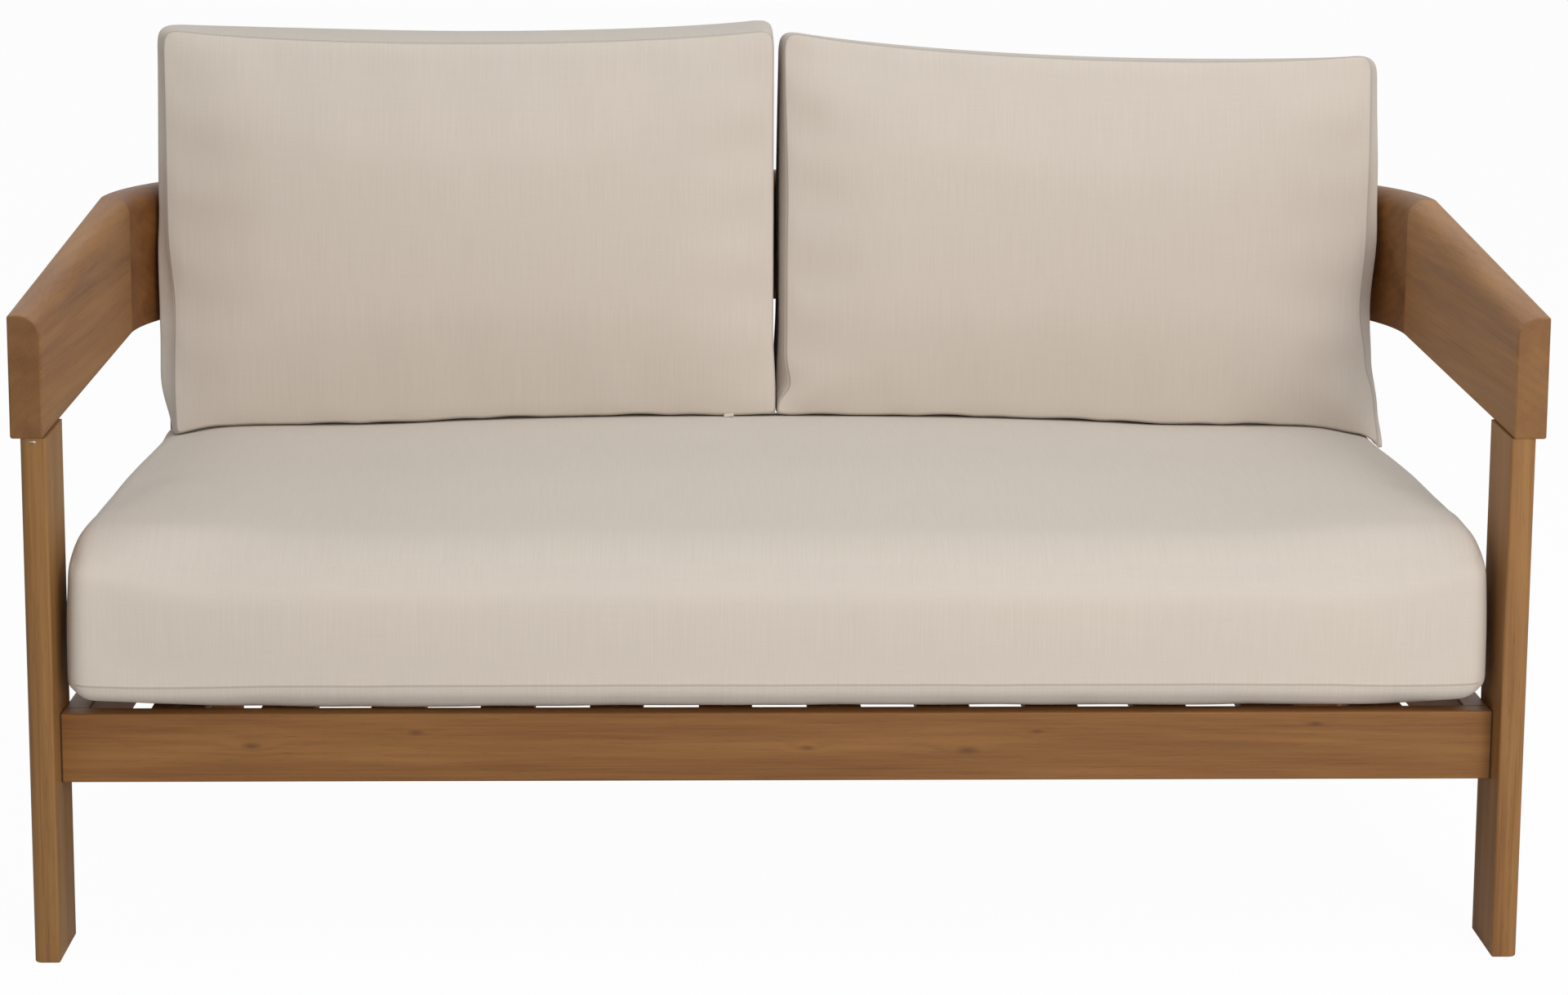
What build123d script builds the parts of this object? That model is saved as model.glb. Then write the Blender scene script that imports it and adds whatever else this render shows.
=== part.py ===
from build123d import *
import math
import os

# Patio loveseat. X runs along its width, -Y is the front, +Z is up, and the origin is on the
# floor under the middle of its plan. Every length is in millimetres.

# Overall sizes
overall_width = 1450
overall_depth = 768
band_top_height = 682
seat_rail_top = 238

# Band: two tapered arms, two curved corners and the back rail
band_thickness = 31
band_height = 149
corner_radius = 280
arm_end_height = 117
arm_end_drop = 20
band_top_radius = 20
band_edge_radius = 2.5
arm_end_radius = 2
band_dowel_radius = 5
band_dowel_length = 44
band_dowel_shares = (0.3, 0.7)

# Legs: one flat board for all four
leg_thickness = 25
leg_depth = 82
leg_setback = 2
leg_inset = 8
leg_front_radius = 8
leg_edge_radius = 2.5
foot_edge_radius = 1.5
rear_leg_angle = 41
leg_dowel_length = 40
leg_dowel_shares = (0.36, 0.64)

# Seat frame
front_rail_setback = 32
front_rail_thickness = 22
rail_height = 68
rail_edge_radius = 2.2
side_rail_thickness = 25
rear_rail_thickness = 22
rear_rail_setback = 92
corner_block_thickness = 26
corner_block_height = 54
rail_dowel_radius = 4
rail_dowel_length = 30
rail_dowel_shares = (0.28, 0.72)

# Slats and the cleats that carry them
slat_count = 12
slat_width = 52
slat_side_gap = 58
slat_thickness = 12
slat_drop = 1
slat_edge_radius = 1.5
slat_end_gap = 1
cleat_width = 20
cleat_height = 24
cleat_screw_count = 5
cleat_end_gap = 20

# Screws, bolts and inserts
wood_screw_head_radius = 4
wood_screw_radius = 1.9
countersink_depth = 3
slat_screw_length = 28
cleat_screw_length = 34
side_block_screw_length = 40
rear_block_screw_length = 29
rear_block_screw_share = 0.8
block_screw_shares = (0.28, 0.72)
bolt_head_radius = 6
bolt_head_height = 3.5
bolt_crown_share = 0.6
bolt_rim_share = 0.4
bolt_radius = 3
bolt_reach = 14
bolt_spread = 30
bolt_socket_radius = 2.3
bolt_socket_depth = 2
insert_radius = 5
insert_length = 16
arm_screw_head_radius = 6.2
arm_screw_head_height = 1.8
arm_screw_radius = 2.4
arm_screw_length = 42
arm_screw_angle = 62
arm_screw_drop = 5
arm_screw_sink = 5
arm_screw_slot_width = 1.3
arm_screw_slot_length = 7
arm_screw_slot_depth = 0.8

# Seat cushion
seat_side_gap = 4
seat_front_setback = 12
seat_rear_gap = 30
seat_side_height = 162
seat_crown = 34
seat_waterfall_drop = 62
seat_waterfall_reach = 88
seat_shoulder_share = 0.16
seat_shoulder_bow_share = 0.45
seat_front_bulge = 6
seat_front_curl_reach = 80
seat_front_curl_height = 26
seat_bottom_radius = 20
seat_rear_radius = 30
seat_peak_share = 0.5
seat_end_length = 46
seat_end_draw = 30
seat_rest_gap = 0.3
cushion_spans = 5
cushion_end_spans = 4
cushion_end_angle = 72

# Back pillows
pillow_height = 424
pillow_thickness = 186
pillow_end_thickness = 34
pillow_lean = 5
pillow_gap = 8
pillow_row_offset = 4
pillow_corner_radius = 34
pillow_end_length = 52
pillow_end_draw = 30
pillow_front_bulge = 16
pillow_top_dip = 10
pillow_top_bulge = 5
pillow_rest_gap = 0.4
pillow_back_gap = 0.8
pillow_corner_limit_share = 0.4
left_pillow_tilt_share = 0.45
right_pillow_tilt_share = 1.0

# Covers and zips
cover_thickness = 2.5
zip_tape_width = 26
zip_tape_thickness = 0.8
zip_tape_length_share = 0.5
zip_chain_width = 6
zip_chain_height = 1.2
zip_slider_length = 12
zip_slider_width = 9
zip_slider_height = 3

# Places worked out from the sizes above
half_width = overall_width / 2
front_y = -overall_depth / 2
back_y = overall_depth / 2
band_underside = band_top_height - band_height
arm_end_underside = band_underside - arm_end_drop
corner_x = half_width - corner_radius
corner_y = back_y - corner_radius
band_inner_radius = corner_radius - band_thickness
arm_inner_x = half_width - band_thickness
leg_outer_x = half_width - leg_inset
leg_inner_x = leg_outer_x - leg_thickness
leg_front_y = front_y + leg_setback
rail_underside = seat_rail_top - rail_height
side_rail_inner_x = leg_inner_x - side_rail_thickness
front_rail_front_y = front_y + front_rail_setback
front_rail_rear_y = front_rail_front_y + front_rail_thickness
rear_rail_rear_y = back_y - rear_rail_setback
rear_rail_front_y = rear_rail_rear_y - rear_rail_thickness
slat_row_half_length = side_rail_inner_x - slat_side_gap - slat_width / 2
slat_pitch = 2 * slat_row_half_length / (slat_count - 1)
slat_top = seat_rail_top - slat_drop
slat_underside = slat_top - slat_thickness
rear_leg_radius = band_inner_radius + band_thickness / 2
rear_leg_face_radius = rear_leg_radius - leg_thickness / 2
seat_half_width = leg_inner_x - seat_side_gap
seat_front_y = front_y + seat_front_setback
seat_rear_y = rear_rail_front_y - seat_rear_gap


def on_the_left(right_part):
    """The left-hand twin of a part that stands on the right."""
    return right_part.mirror(Plane.YZ)


def box_between(low, high):
    """A box between two corners."""
    size = [b - a for a, b in zip(low, high)]
    return Pos(*low) * Box(*size, align=(Align.MIN, Align.MIN, Align.MIN))


def rod(start, direction, radius, length):
    """A round rod from a start point along a direction."""
    return Plane(origin=start, z_dir=direction) * Cylinder(
        radius, length, align=(Align.CENTER, Align.CENTER, Align.MIN)
    )


def round_corner(outline, corner, radius):
    """An outline with the corner nearest to a point rounded."""
    vertex = outline.vertices().sort_by_distance(corner)[0]
    return fillet(vertex, radius)


def band_section(height):
    """The band's cross-section: x runs outward from its inner face, y up from its underside."""
    section = Rectangle(band_thickness, height, align=(Align.MIN, Align.MIN))
    section = round_corner(section, (0, height, 0), band_top_radius)
    for corner in ((0, 0, 0), (band_thickness, 0, 0), (band_thickness, height, 0)):
        section = round_corner(section, corner, band_edge_radius)
    return section


def side_plane(y, z):
    """Section plane across the right arm, with x pointing outward."""
    return Plane(origin=(arm_inner_x, y, z), x_dir=(1, 0, 0), z_dir=(0, -1, 0))


def arm_seam_dowels():
    """Dowels along Y across the seam of the right arm and its corner block."""
    x = half_width - band_thickness / 2
    return [
        rod((x, corner_y - band_dowel_length / 2, band_underside + band_height * share),
            (0, 1, 0), band_dowel_radius, band_dowel_length)
        for share in band_dowel_shares
    ]


def rail_seam_dowels():
    """Dowels along X across the seam of the right corner block and the back rail."""
    y = back_y - band_thickness / 2
    return [
        rod((corner_x - band_dowel_length / 2, y, band_underside + band_height * share),
            (1, 0, 0), band_dowel_radius, band_dowel_length)
        for share in band_dowel_shares
    ]


def arm_underside_at(y):
    """Height of the arm's underside, which rises from its front end to the level band."""
    share = (y - front_y) / (corner_y - front_y)
    return arm_end_underside + arm_end_drop * share


def front_leg_dowels():
    """Dowels from the top of the right front leg up into the arm."""
    x = (leg_inner_x + leg_outer_x) / 2
    dowels = []
    for share in leg_dowel_shares:
        y = leg_front_y + leg_depth * share
        start = (x, y, arm_underside_at(y) - leg_dowel_length / 2)
        dowels.append(rod(start, (0, 0, 1), band_dowel_radius, leg_dowel_length))
    return dowels


def rear_leg_plane(radius, z):
    """Plane at the right rear leg: x along the leg's width, y up, z outward from the corner."""
    turn = math.radians(rear_leg_angle)
    outward = (math.cos(turn), math.sin(turn), 0)
    origin = (corner_x + radius * outward[0], corner_y + radius * outward[1], z)
    return Plane(origin=origin, x_dir=(-math.sin(turn), math.cos(turn), 0), z_dir=outward)


def rear_leg_dowels():
    """Dowels from the top of the right rear leg up into the curved corner."""
    plane = rear_leg_plane(rear_leg_radius, band_underside - leg_dowel_length / 2)
    dowels = []
    for share in leg_dowel_shares:
        start = plane.from_local_coords((leg_depth * (share - 1 / 2), 0, 0))
        dowels.append(rod(start, (0, 0, 1), band_dowel_radius, leg_dowel_length))
    return dowels


def cut_with(part, tools):
    """A part with the room for its fixings taken out."""
    for tool in tools:
        part = part - tool
    return part


def make_right_arm(fixings):
    """Tapered arm board that rises from its front end to the level band."""
    arm = loft([
        side_plane(front_y, arm_end_underside) * band_section(arm_end_height),
        side_plane(corner_y, band_underside) * band_section(band_height),
    ], ruled=True)
    front_edges = arm.faces().sort_by(Axis.Y)[0].edges()
    arm = fillet(front_edges, arm_end_radius)
    return cut_with(arm, fixings)


def make_right_corner(fixings):
    """Curved block that carries the arm's section a quarter turn round to the back rail."""
    section = side_plane(corner_y, band_underside) * band_section(band_height)
    block = revolve(section, Axis((corner_x, corner_y, 0), (0, 0, 1)), 90)
    return cut_with(block, fixings)


def make_back_rail(fixings):
    """Straight rail between the corner blocks, of the same section."""
    plane = Plane(origin=(corner_x, back_y - band_thickness, band_underside),
                  x_dir=(0, 1, 0), z_dir=(1, 0, 0))
    rail = extrude(plane * band_section(band_height), amount=-2 * corner_x)
    return cut_with(rail, fixings)


def leg_board(height, front_radius):
    """A leg standing on the floor: x across its thickness, y along its width, both centred."""
    outline = Rectangle(leg_thickness, leg_depth)
    half_x = leg_thickness / 2
    half_y = leg_depth / 2
    outline = round_corner(outline, (half_x, -half_y, 0), front_radius)
    for corner in ((half_x, half_y, 0), (-half_x, half_y, 0), (-half_x, -half_y, 0)):
        outline = round_corner(outline, corner, leg_edge_radius)
    board = extrude(outline, amount=height)
    foot_edges = board.faces().sort_by(Axis.Z)[0].edges()
    return fillet(foot_edges, foot_edge_radius)


def make_right_front_leg(fixings):
    """Front leg, its top cut to the slope of the arm's underside."""
    x = (leg_inner_x + leg_outer_x) / 2
    y = leg_front_y + leg_depth / 2
    leg = Pos(x, y, 0) * leg_board(band_underside, leg_front_radius)
    slope = math.degrees(math.atan2(arm_end_drop, corner_y - front_y))
    under_arm = Plane(origin=(x, front_y, arm_end_underside), z_dir=(0, 0, 1)).rotated((slope, 0, 0))
    leg = split(leg, bisect_by=under_arm, keep=Keep.BOTTOM)
    return cut_with(leg, fixings)


def make_right_rear_leg(fixings):
    """Rear leg, turned to stand along the curve of the band."""
    plane = rear_leg_plane(rear_leg_radius, 0)
    leg = leg_board(band_underside, leg_edge_radius)
    leg = Pos(plane.origin) * Rot(0, 0, rear_leg_angle) * leg
    return cut_with(leg, fixings)


def behind_leg_face(part, radius, keep):
    """The part's side of an upright plane parallel to the right rear leg's inner face."""
    return split(part, bisect_by=rear_leg_plane(radius, 0), keep=keep)


def make_front_rail(fixings):
    """Front seat rail between the front legs, with its long edges eased."""
    rail = box_between((-leg_inner_x, front_rail_front_y, rail_underside),
                       (leg_inner_x, front_rail_rear_y, seat_rail_top))
    long_edges = rail.edges().filter_by(Axis.X)
    return cut_with(fillet(long_edges, rail_edge_radius), fixings)


def make_right_side_rail(fixings):
    """Side seat rail, its rear end cut in line with the rear leg's inner face."""
    rail = box_between((side_rail_inner_x, front_rail_rear_y, rail_underside),
                       (leg_inner_x, rear_rail_rear_y, seat_rail_top))
    rail = fillet(rail.edges().filter_by(Axis.Y), rail_edge_radius)
    rail = behind_leg_face(rail, rear_leg_face_radius, Keep.BOTTOM)
    return cut_with(rail, fixings)


def make_rear_rail(fixings):
    """Rear seat rail, both ends cut to lie on the rear legs' inner faces."""
    rail = box_between((-leg_inner_x, rear_rail_front_y, rail_underside),
                       (leg_inner_x, rear_rail_rear_y, seat_rail_top))
    rail = fillet(rail.edges().filter_by(Axis.X), rail_edge_radius)
    rail = behind_leg_face(rail, rear_leg_face_radius, Keep.BOTTOM)
    rail = on_the_left(behind_leg_face(on_the_left(rail), rear_leg_face_radius, Keep.BOTTOM))
    return cut_with(rail, fixings)


def make_right_corner_block(fixings):
    """Block in the frame's rear corner, bolted to the rear leg."""
    top = slat_underside
    block = box_between((corner_x, front_y, top - corner_block_height),
                        (side_rail_inner_x, rear_rail_front_y, top))
    block = behind_leg_face(block, rear_leg_face_radius, Keep.BOTTOM)
    block = behind_leg_face(block, rear_leg_face_radius - corner_block_thickness, Keep.TOP)
    return cut_with(block, fixings)


def make_front_cleat(fixings):
    """Cleat behind the front rail, under the slats' front ends."""
    half = side_rail_inner_x - cleat_end_gap
    cleat = box_between((-half, front_rail_rear_y, slat_underside - cleat_height),
                        (half, front_rail_rear_y + cleat_width, slat_underside))
    return cut_with(cleat, fixings)


def rear_cleat_half_length():
    """Half the rear cleat's length, which ends at the corner blocks."""
    return block_line_x(rear_leg_face_radius - corner_block_thickness, rear_rail_front_y)


def make_rear_cleat(fixings):
    """Cleat in front of the rear rail, under the slats' rear ends."""
    half = rear_cleat_half_length()
    cleat = box_between((-half, rear_rail_front_y - cleat_width, slat_underside - cleat_height),
                        (half, rear_rail_front_y, slat_underside))
    return cut_with(cleat, fixings)


def slat_centres():
    """X of each slat, in a row about the middle."""
    return [slat_pitch * i - slat_row_half_length for i in range(slat_count)]


def make_slat(x, fixings):
    """One seat slat, running front to back."""
    slat = box_between((x - slat_width / 2, front_rail_rear_y + slat_end_gap, slat_underside),
                       (x + slat_width / 2, rear_rail_front_y - slat_end_gap, slat_top))
    slat = fillet(slat.edges().filter_by(Axis.Y), slat_edge_radius)
    return cut_with(slat, fixings)


def countersunk_screw(start, direction, length):
    """Countersunk screw, its head flush at the start point."""
    profile = Polyline(
        (0, 0),
        (wood_screw_head_radius, 0),
        (wood_screw_radius, countersink_depth),
        (wood_screw_radius, length),
        (0, length),
        close=True,
    )
    screw = revolve(make_face(Plane.XZ * profile), Axis.Z)
    return Plane(origin=start, z_dir=direction) * screw


def slat_screw_places():
    """Where the slats are screwed down: one screw at each end of each slat."""
    front = front_rail_rear_y + cleat_width / 2
    rear = rear_rail_front_y - cleat_width / 2
    return [(x, y, slat_top) for x in slat_centres() for y in (front, rear)]


def make_slat_screws():
    """Screws that hold the slats on the cleats."""
    return [countersunk_screw(p, (0, 0, -1), slat_screw_length) for p in slat_screw_places()]


def make_cleat_screws():
    """Screws that hold the two cleats on their rails, driven from the cleats' open sides."""
    screws = []
    z = slat_underside - cleat_height / 2
    reach = rear_cleat_half_length() - slat_pitch / 2
    step = 2 * reach / (cleat_screw_count - 1)
    for i in range(cleat_screw_count):
        x = step * i - reach
        front_start = (x, front_rail_rear_y + cleat_width, z)
        rear_start = (x, rear_rail_front_y - cleat_width, z)
        screws.append(countersunk_screw(front_start, (0, -1, 0), cleat_screw_length))
        screws.append(countersunk_screw(rear_start, (0, 1, 0), cleat_screw_length))
    return screws


def block_line_x(radius, y):
    """X at a given Y on an upright plane parallel to the right rear leg's inner face."""
    turn = math.radians(rear_leg_angle)
    return corner_x + (radius - (y - corner_y) * math.sin(turn)) / math.cos(turn)


def block_line_y(radius, x):
    """Y at a given X on an upright plane parallel to the right rear leg's inner face."""
    turn = math.radians(rear_leg_angle)
    return corner_y + (radius - (x - corner_x) * math.cos(turn)) / math.sin(turn)


def make_right_block_screws():
    """Screws from the side rail and the rear rail into the right corner block."""
    side_y = block_line_y(rear_leg_face_radius - corner_block_thickness / 2, side_rail_inner_x)
    rear_radius = rear_leg_face_radius - corner_block_thickness * rear_block_screw_share
    rear_x = block_line_x(rear_radius, rear_rail_front_y)
    screws = []
    for share in block_screw_shares:
        z = slat_underside - corner_block_height * share
        screws.append(countersunk_screw(
            (leg_inner_x, side_y, z), (-1, 0, 0), side_block_screw_length))
        screws.append(countersunk_screw(
            (rear_x, rear_rail_rear_y, z), (0, -1, 0), rear_block_screw_length))
    return screws


def button_bolt(start, direction, grip):
    """Button-head bolt: its head stands on the start point, its shank runs along the direction."""
    length = grip + bolt_reach
    profile = Polyline(
        (0, -bolt_head_height),
        (bolt_head_radius * bolt_crown_share, -bolt_head_height),
        (bolt_head_radius, -bolt_head_height * bolt_rim_share),
        (bolt_head_radius, 0),
        (bolt_radius, 0),
        (bolt_radius, length),
        (0, length),
        close=True,
    )
    bolt = revolve(make_face(Plane.XZ * profile), Axis.Z)
    socket = Pos(0, 0, -bolt_head_height) * extrude(
        RegularPolygon(bolt_socket_radius, 6), amount=bolt_socket_depth)
    return Plane(origin=start, z_dir=direction) * (bolt - socket)


def threaded_insert(start, direction):
    """Threaded insert, open at both ends, its mouth at the start point."""
    body = Cylinder(insert_radius, insert_length, align=(Align.CENTER, Align.CENTER, Align.MIN))
    bore = Cylinder(bolt_radius, insert_length, align=(Align.CENTER, Align.CENTER, Align.MIN))
    return Plane(origin=start, z_dir=direction) * (body - bore)


def bolt_heights():
    """Heights of the two bolts at each leg."""
    middle = slat_underside - corner_block_height / 2
    return [middle - bolt_spread / 2, middle + bolt_spread / 2]


def right_bolt_lines():
    """Each bolt on the right: where its head sits, its direction and the wood it clamps."""
    front_bolt_y = (front_rail_rear_y + leg_front_y + leg_depth) / 2
    face = rear_leg_plane(rear_leg_face_radius - corner_block_thickness, 0)
    rear_x = block_line_x(rear_leg_face_radius, rear_rail_front_y)
    block_end = face.to_local_coords(Vector(rear_x, rear_rail_front_y, 0)).X
    rear_along = (block_end - leg_depth / 2) / 2
    lines = []
    for z in bolt_heights():
        lines.append(((side_rail_inner_x, front_bolt_y, z), (1, 0, 0), side_rail_thickness))
        start = face.from_local_coords((rear_along, 0, 0)) + Vector(0, 0, z)
        lines.append((start, face.z_dir, corner_block_thickness))
    return lines


def make_right_bolts():
    """Bolts that clamp the seat frame to the right legs."""
    return [button_bolt(start, way, grip) for start, way, grip in right_bolt_lines()]


def make_right_inserts():
    """Threaded inserts in the right legs, in line with the bolts."""
    inserts = []
    for start, way, grip in right_bolt_lines():
        mouth = Vector(start) + Vector(way).normalized() * grip
        inserts.append(threaded_insert(mouth, way))
    return inserts


def bolt_room(lines):
    """Round room for each bolt's shank, from its head to the insert."""
    return [rod(start, way, bolt_radius, grip) for start, way, grip in lines]


def insert_room(lines):
    """Round room for each insert, with the bolt's tip inside it."""
    rooms = []
    for start, way, grip in lines:
        mouth = Vector(start) + Vector(way).normalized() * grip
        rooms.append(rod(mouth, way, insert_radius, insert_length))
    return rooms


def front_rail_dowels():
    """Dowels from the front rail's right end into the leg and from its back into the side rail."""
    dowels = []
    y = (front_rail_front_y + front_rail_rear_y) / 2
    x = (side_rail_inner_x + leg_inner_x) / 2
    for share in rail_dowel_shares:
        z = rail_underside + rail_height * share
        into_leg = (leg_inner_x - rail_dowel_length / 2, y, z)
        dowels.append(rod(into_leg, (1, 0, 0), rail_dowel_radius, rail_dowel_length))
    into_side = (x, front_rail_rear_y - front_rail_thickness / 2, rail_underside + rail_height / 2)
    dowels.append(rod(into_side, (0, 1, 0), rail_dowel_radius, rail_dowel_length))
    return dowels


def arm_screw(edge_y, facing):
    """Cross-head screw driven up into the right arm, its head sunk in the front leg's edge."""
    lean = math.radians(arm_screw_angle)
    x = (leg_inner_x + leg_outer_x) / 2
    y = edge_y - facing * arm_screw_sink
    z = arm_underside_at(edge_y) - arm_screw_drop
    shank = Cylinder(arm_screw_radius, arm_screw_length,
                     align=(Align.CENTER, Align.CENTER, Align.MIN))
    head = Cylinder(arm_screw_head_radius, arm_screw_head_height,
                    align=(Align.CENTER, Align.CENTER, Align.MAX))
    slot = Pos(0, 0, -arm_screw_head_height) * Box(
        arm_screw_slot_length, arm_screw_slot_width, arm_screw_slot_depth,
        align=(Align.CENTER, Align.CENTER, Align.MIN))
    screw = shank + head - slot - Rot(0, 0, 90) * slot
    axis = (0, -facing * math.cos(lean), math.sin(lean))
    return Plane(origin=(x, y, z), z_dir=axis) * screw


def rear_arm_screw():
    """Screw in the rear edge of the right front leg."""
    return arm_screw(leg_front_y + leg_depth, 1)


def front_arm_screw():
    """Screw in the front edge of the right front leg, as a pattern for the left one."""
    return arm_screw(leg_front_y, -1)


def corner_arc(start, corner, end):
    """An arc that rounds a corner, bowed most of the way to it."""
    start, corner, end = Vector(*start), Vector(*corner), Vector(*end)
    chord_middle = (start + end) / 2
    middle = chord_middle + (corner - chord_middle) * (math.sqrt(2) - 1)
    return ThreePointArc(start, middle, end)


def bowed(start, end, bulge):
    """An arc between two points whose middle stands off the chord by the bulge, to the right."""
    start, end = Vector(*start), Vector(*end)
    along = (end - start).normalized()
    off = Vector(along.Y, -along.X) * bulge
    return ThreePointArc(start, (start + end) / 2 + off, end)


def end_stations(at_x, outward, length, draw):
    """Stations of a cushion's rounded end: each one's X and how far it is drawn in there."""
    stations = []
    for i in range(1, cushion_end_spans + 1):
        angle = math.radians(cushion_end_angle * i / cushion_end_spans)
        x = at_x - outward * length * (1 - math.sin(angle))
        stations.append((x, draw * (1 - math.cos(angle))))
    return stations


def cushion_stations(low_x, high_x, length, draw):
    """Stations along a cushion from end to end, drawn in at both ends."""
    low_end = end_stations(low_x, -1, length, draw)
    high_end = end_stations(high_x, 1, length, draw)
    first = low_x + length
    step = (high_x - low_x - 2 * length) / (2 * cushion_spans)
    middle = [(first + step * i, 0) for i in range(2 * cushion_spans + 1)]
    return low_end[::-1] + middle + high_end


def seat_top_at(x):
    """Height of the seat cushion's crown at a given X."""
    share = x / seat_half_width
    return seat_rail_top + seat_rest_gap + seat_side_height + seat_crown * (1 - share * share)


def seat_profile(x, draw, inset):
    """Front-to-back profile of the seat cushion at a given X, drawn in and inset all round.

    The crown starts behind the waterfall front, whose shoulder is level from end to end. The
    front's lower edge curls back under it, clear of the front rail.
    """
    low = seat_rail_top + seat_rest_gap + draw + inset
    high = seat_top_at(x) - draw - inset
    front = seat_front_y + draw + inset
    rear = seat_rear_y - draw - inset
    foot = seat_bottom_radius
    curl_y = front + seat_front_curl_reach
    curl_z = low + seat_front_curl_height
    back = seat_rear_radius
    peak = front + (rear - front) * seat_peak_share
    edge = seat_rail_top + seat_rest_gap + seat_side_height - draw - inset
    waterfall_z = edge - seat_waterfall_drop
    waterfall_y = front + seat_waterfall_reach
    shoulder_z = edge - seat_waterfall_drop * seat_shoulder_share
    lines = [
        Line((curl_y, low), (rear - foot, low)),
        corner_arc((rear - foot, low), (rear, low), (rear, low + foot)),
        Line((rear, low + foot), (rear, high - back)),
        corner_arc((rear, high - back), (rear, high), (rear - back, high)),
        Line((rear - back, high), (peak, high)),
        bowed((peak, high), (waterfall_y, shoulder_z),
              seat_shoulder_bow_share * (high - shoulder_z)),
        corner_arc((waterfall_y, shoulder_z), (front, edge), (front, waterfall_z)),
        bowed((front, waterfall_z), (front, curl_z), seat_front_bulge),
        EllipticalCenterArc((curl_y, curl_z), seat_front_curl_reach, seat_front_curl_height,
                            start_angle=180, arc_size=90),
    ]
    plane = Plane(origin=(x, 0, 0), x_dir=(0, 1, 0), z_dir=(1, 0, 0))
    return plane * make_face(lines)


def seat_solid(inset):
    """The seat cushion as a loft of profiles along its width."""
    half = seat_half_width - inset
    stations = cushion_stations(-half, half, seat_end_length, seat_end_draw)
    return loft([seat_profile(x, draw, inset) for x, draw in stations], ruled=True)


def pillow_tilt(tilt_share):
    """Angle by which a pillow's outer end hangs lower, as a share of the crown's slope."""
    return math.atan(seat_crown / seat_half_width * tilt_share)


def back_room(x):
    """How far back a pillow may reach at a given X, inside the rail and the curved corners."""
    into_corner = min(max(0, x - corner_x), band_inner_radius)
    return corner_y + math.sqrt(band_inner_radius ** 2 - into_corner ** 2) - pillow_back_gap


def pillow_face_y():
    """Y of the pillows' front seams at the height of the band's top."""
    return back_y - band_thickness - pillow_thickness


def pillow_outer_x():
    """X at the band's top where the curve leaves a pillow just its end thickness."""
    into_curve = pillow_face_y() + pillow_end_thickness - corner_y
    return corner_x + math.sqrt(band_inner_radius ** 2 - into_curve ** 2)


def pillow_profile(x, draw, tilt_share, inner_x, inset):
    """Front-to-back profile of a right pillow at a distance x from its inner end."""
    band_rise = band_top_height - seat_top_at(0)
    world_x = inner_x + x + band_rise * math.sin(pillow_tilt(tilt_share))
    length = pillow_outer_x() - inner_x
    dip = pillow_top_dip * (1 - abs(2 * x / length - 1)) * math.sin(math.pi * x / length)
    lean = math.tan(math.radians(pillow_lean))
    low = draw + inset
    high = pillow_height - draw - inset - dip
    front = pillow_face_y() + draw / 2 + inset - band_rise * lean
    rear = min(back_room(0) - draw, back_room(world_x)) - inset - band_rise * lean
    corner = min(pillow_corner_radius, (rear - front) * pillow_corner_limit_share)

    def at(y, z):
        return (y + z * lean, z)

    lines = [
        Line(at(front + corner, low), at(rear - corner, low)),
        corner_arc(at(rear - corner, low), at(rear, low), at(rear, low + corner)),
        Line(at(rear, low + corner), at(rear, high - corner)),
        corner_arc(at(rear, high - corner), at(rear, high), at(rear - corner, high)),
        bowed(at(rear - corner, high), at(front + corner, high), pillow_top_bulge),
        corner_arc(at(front + corner, high), at(front, high), at(front, high - corner)),
        bowed(at(front, high - corner), at(front, low + corner), pillow_front_bulge - draw / 2),
        corner_arc(at(front, low + corner), at(front, low), at(front + corner, low)),
    ]
    plane = Plane(origin=(x, 0, 0), x_dir=(0, 1, 0), z_dir=(1, 0, 0))
    return plane * make_face(lines)


def pillow_place(tilt_share, inner_x):
    """Place of a right pillow: tilted to lie on the seat cushion's crown."""
    touch_x = seat_half_width / 2 * tilt_share
    tilt = pillow_tilt(tilt_share)
    z = seat_top_at(touch_x) + (touch_x - inner_x) * math.tan(tilt) + pillow_rest_gap
    return Pos(inner_x, 0, z) * Rot(0, math.degrees(tilt), 0)


def pillow_solid(tilt_share, inner_x, inset):
    """A right pillow as a loft of profiles along its width, in its place."""
    reach = (band_top_height - seat_top_at(0)) * math.sin(pillow_tilt(tilt_share))
    outer = pillow_outer_x() - inner_x - reach - inset
    stations = cushion_stations(inset, outer, pillow_end_length, pillow_end_draw)
    profiles = [pillow_profile(x, draw, tilt_share, inner_x, inset) for x, draw in stations]
    return pillow_place(tilt_share, inner_x) * loft(profiles, ruled=True)


def pillow_zip(tilt_share, inner_x):
    """Zip in the underside of a right pillow, behind the seat cushion's rear edge."""
    length = pillow_outer_x() - inner_x
    y = seat_rear_y + zip_tape_width / 2
    face = Plane(origin=(length / 2, y, 0), x_dir=(1, 0, 0), z_dir=(0, 0, -1))
    return pillow_place(tilt_share, inner_x) * zip_fastener(face, length * zip_tape_length_share)


def seat_zip():
    """Zip in the seat cushion's rear face."""
    z = seat_rail_top + seat_rest_gap + seat_side_height / 2
    face = Plane(origin=(0, seat_rear_y, z), x_dir=(1, 0, 0), z_dir=(0, 1, 0))
    return zip_fastener(face, 2 * seat_half_width * zip_tape_length_share)


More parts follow.
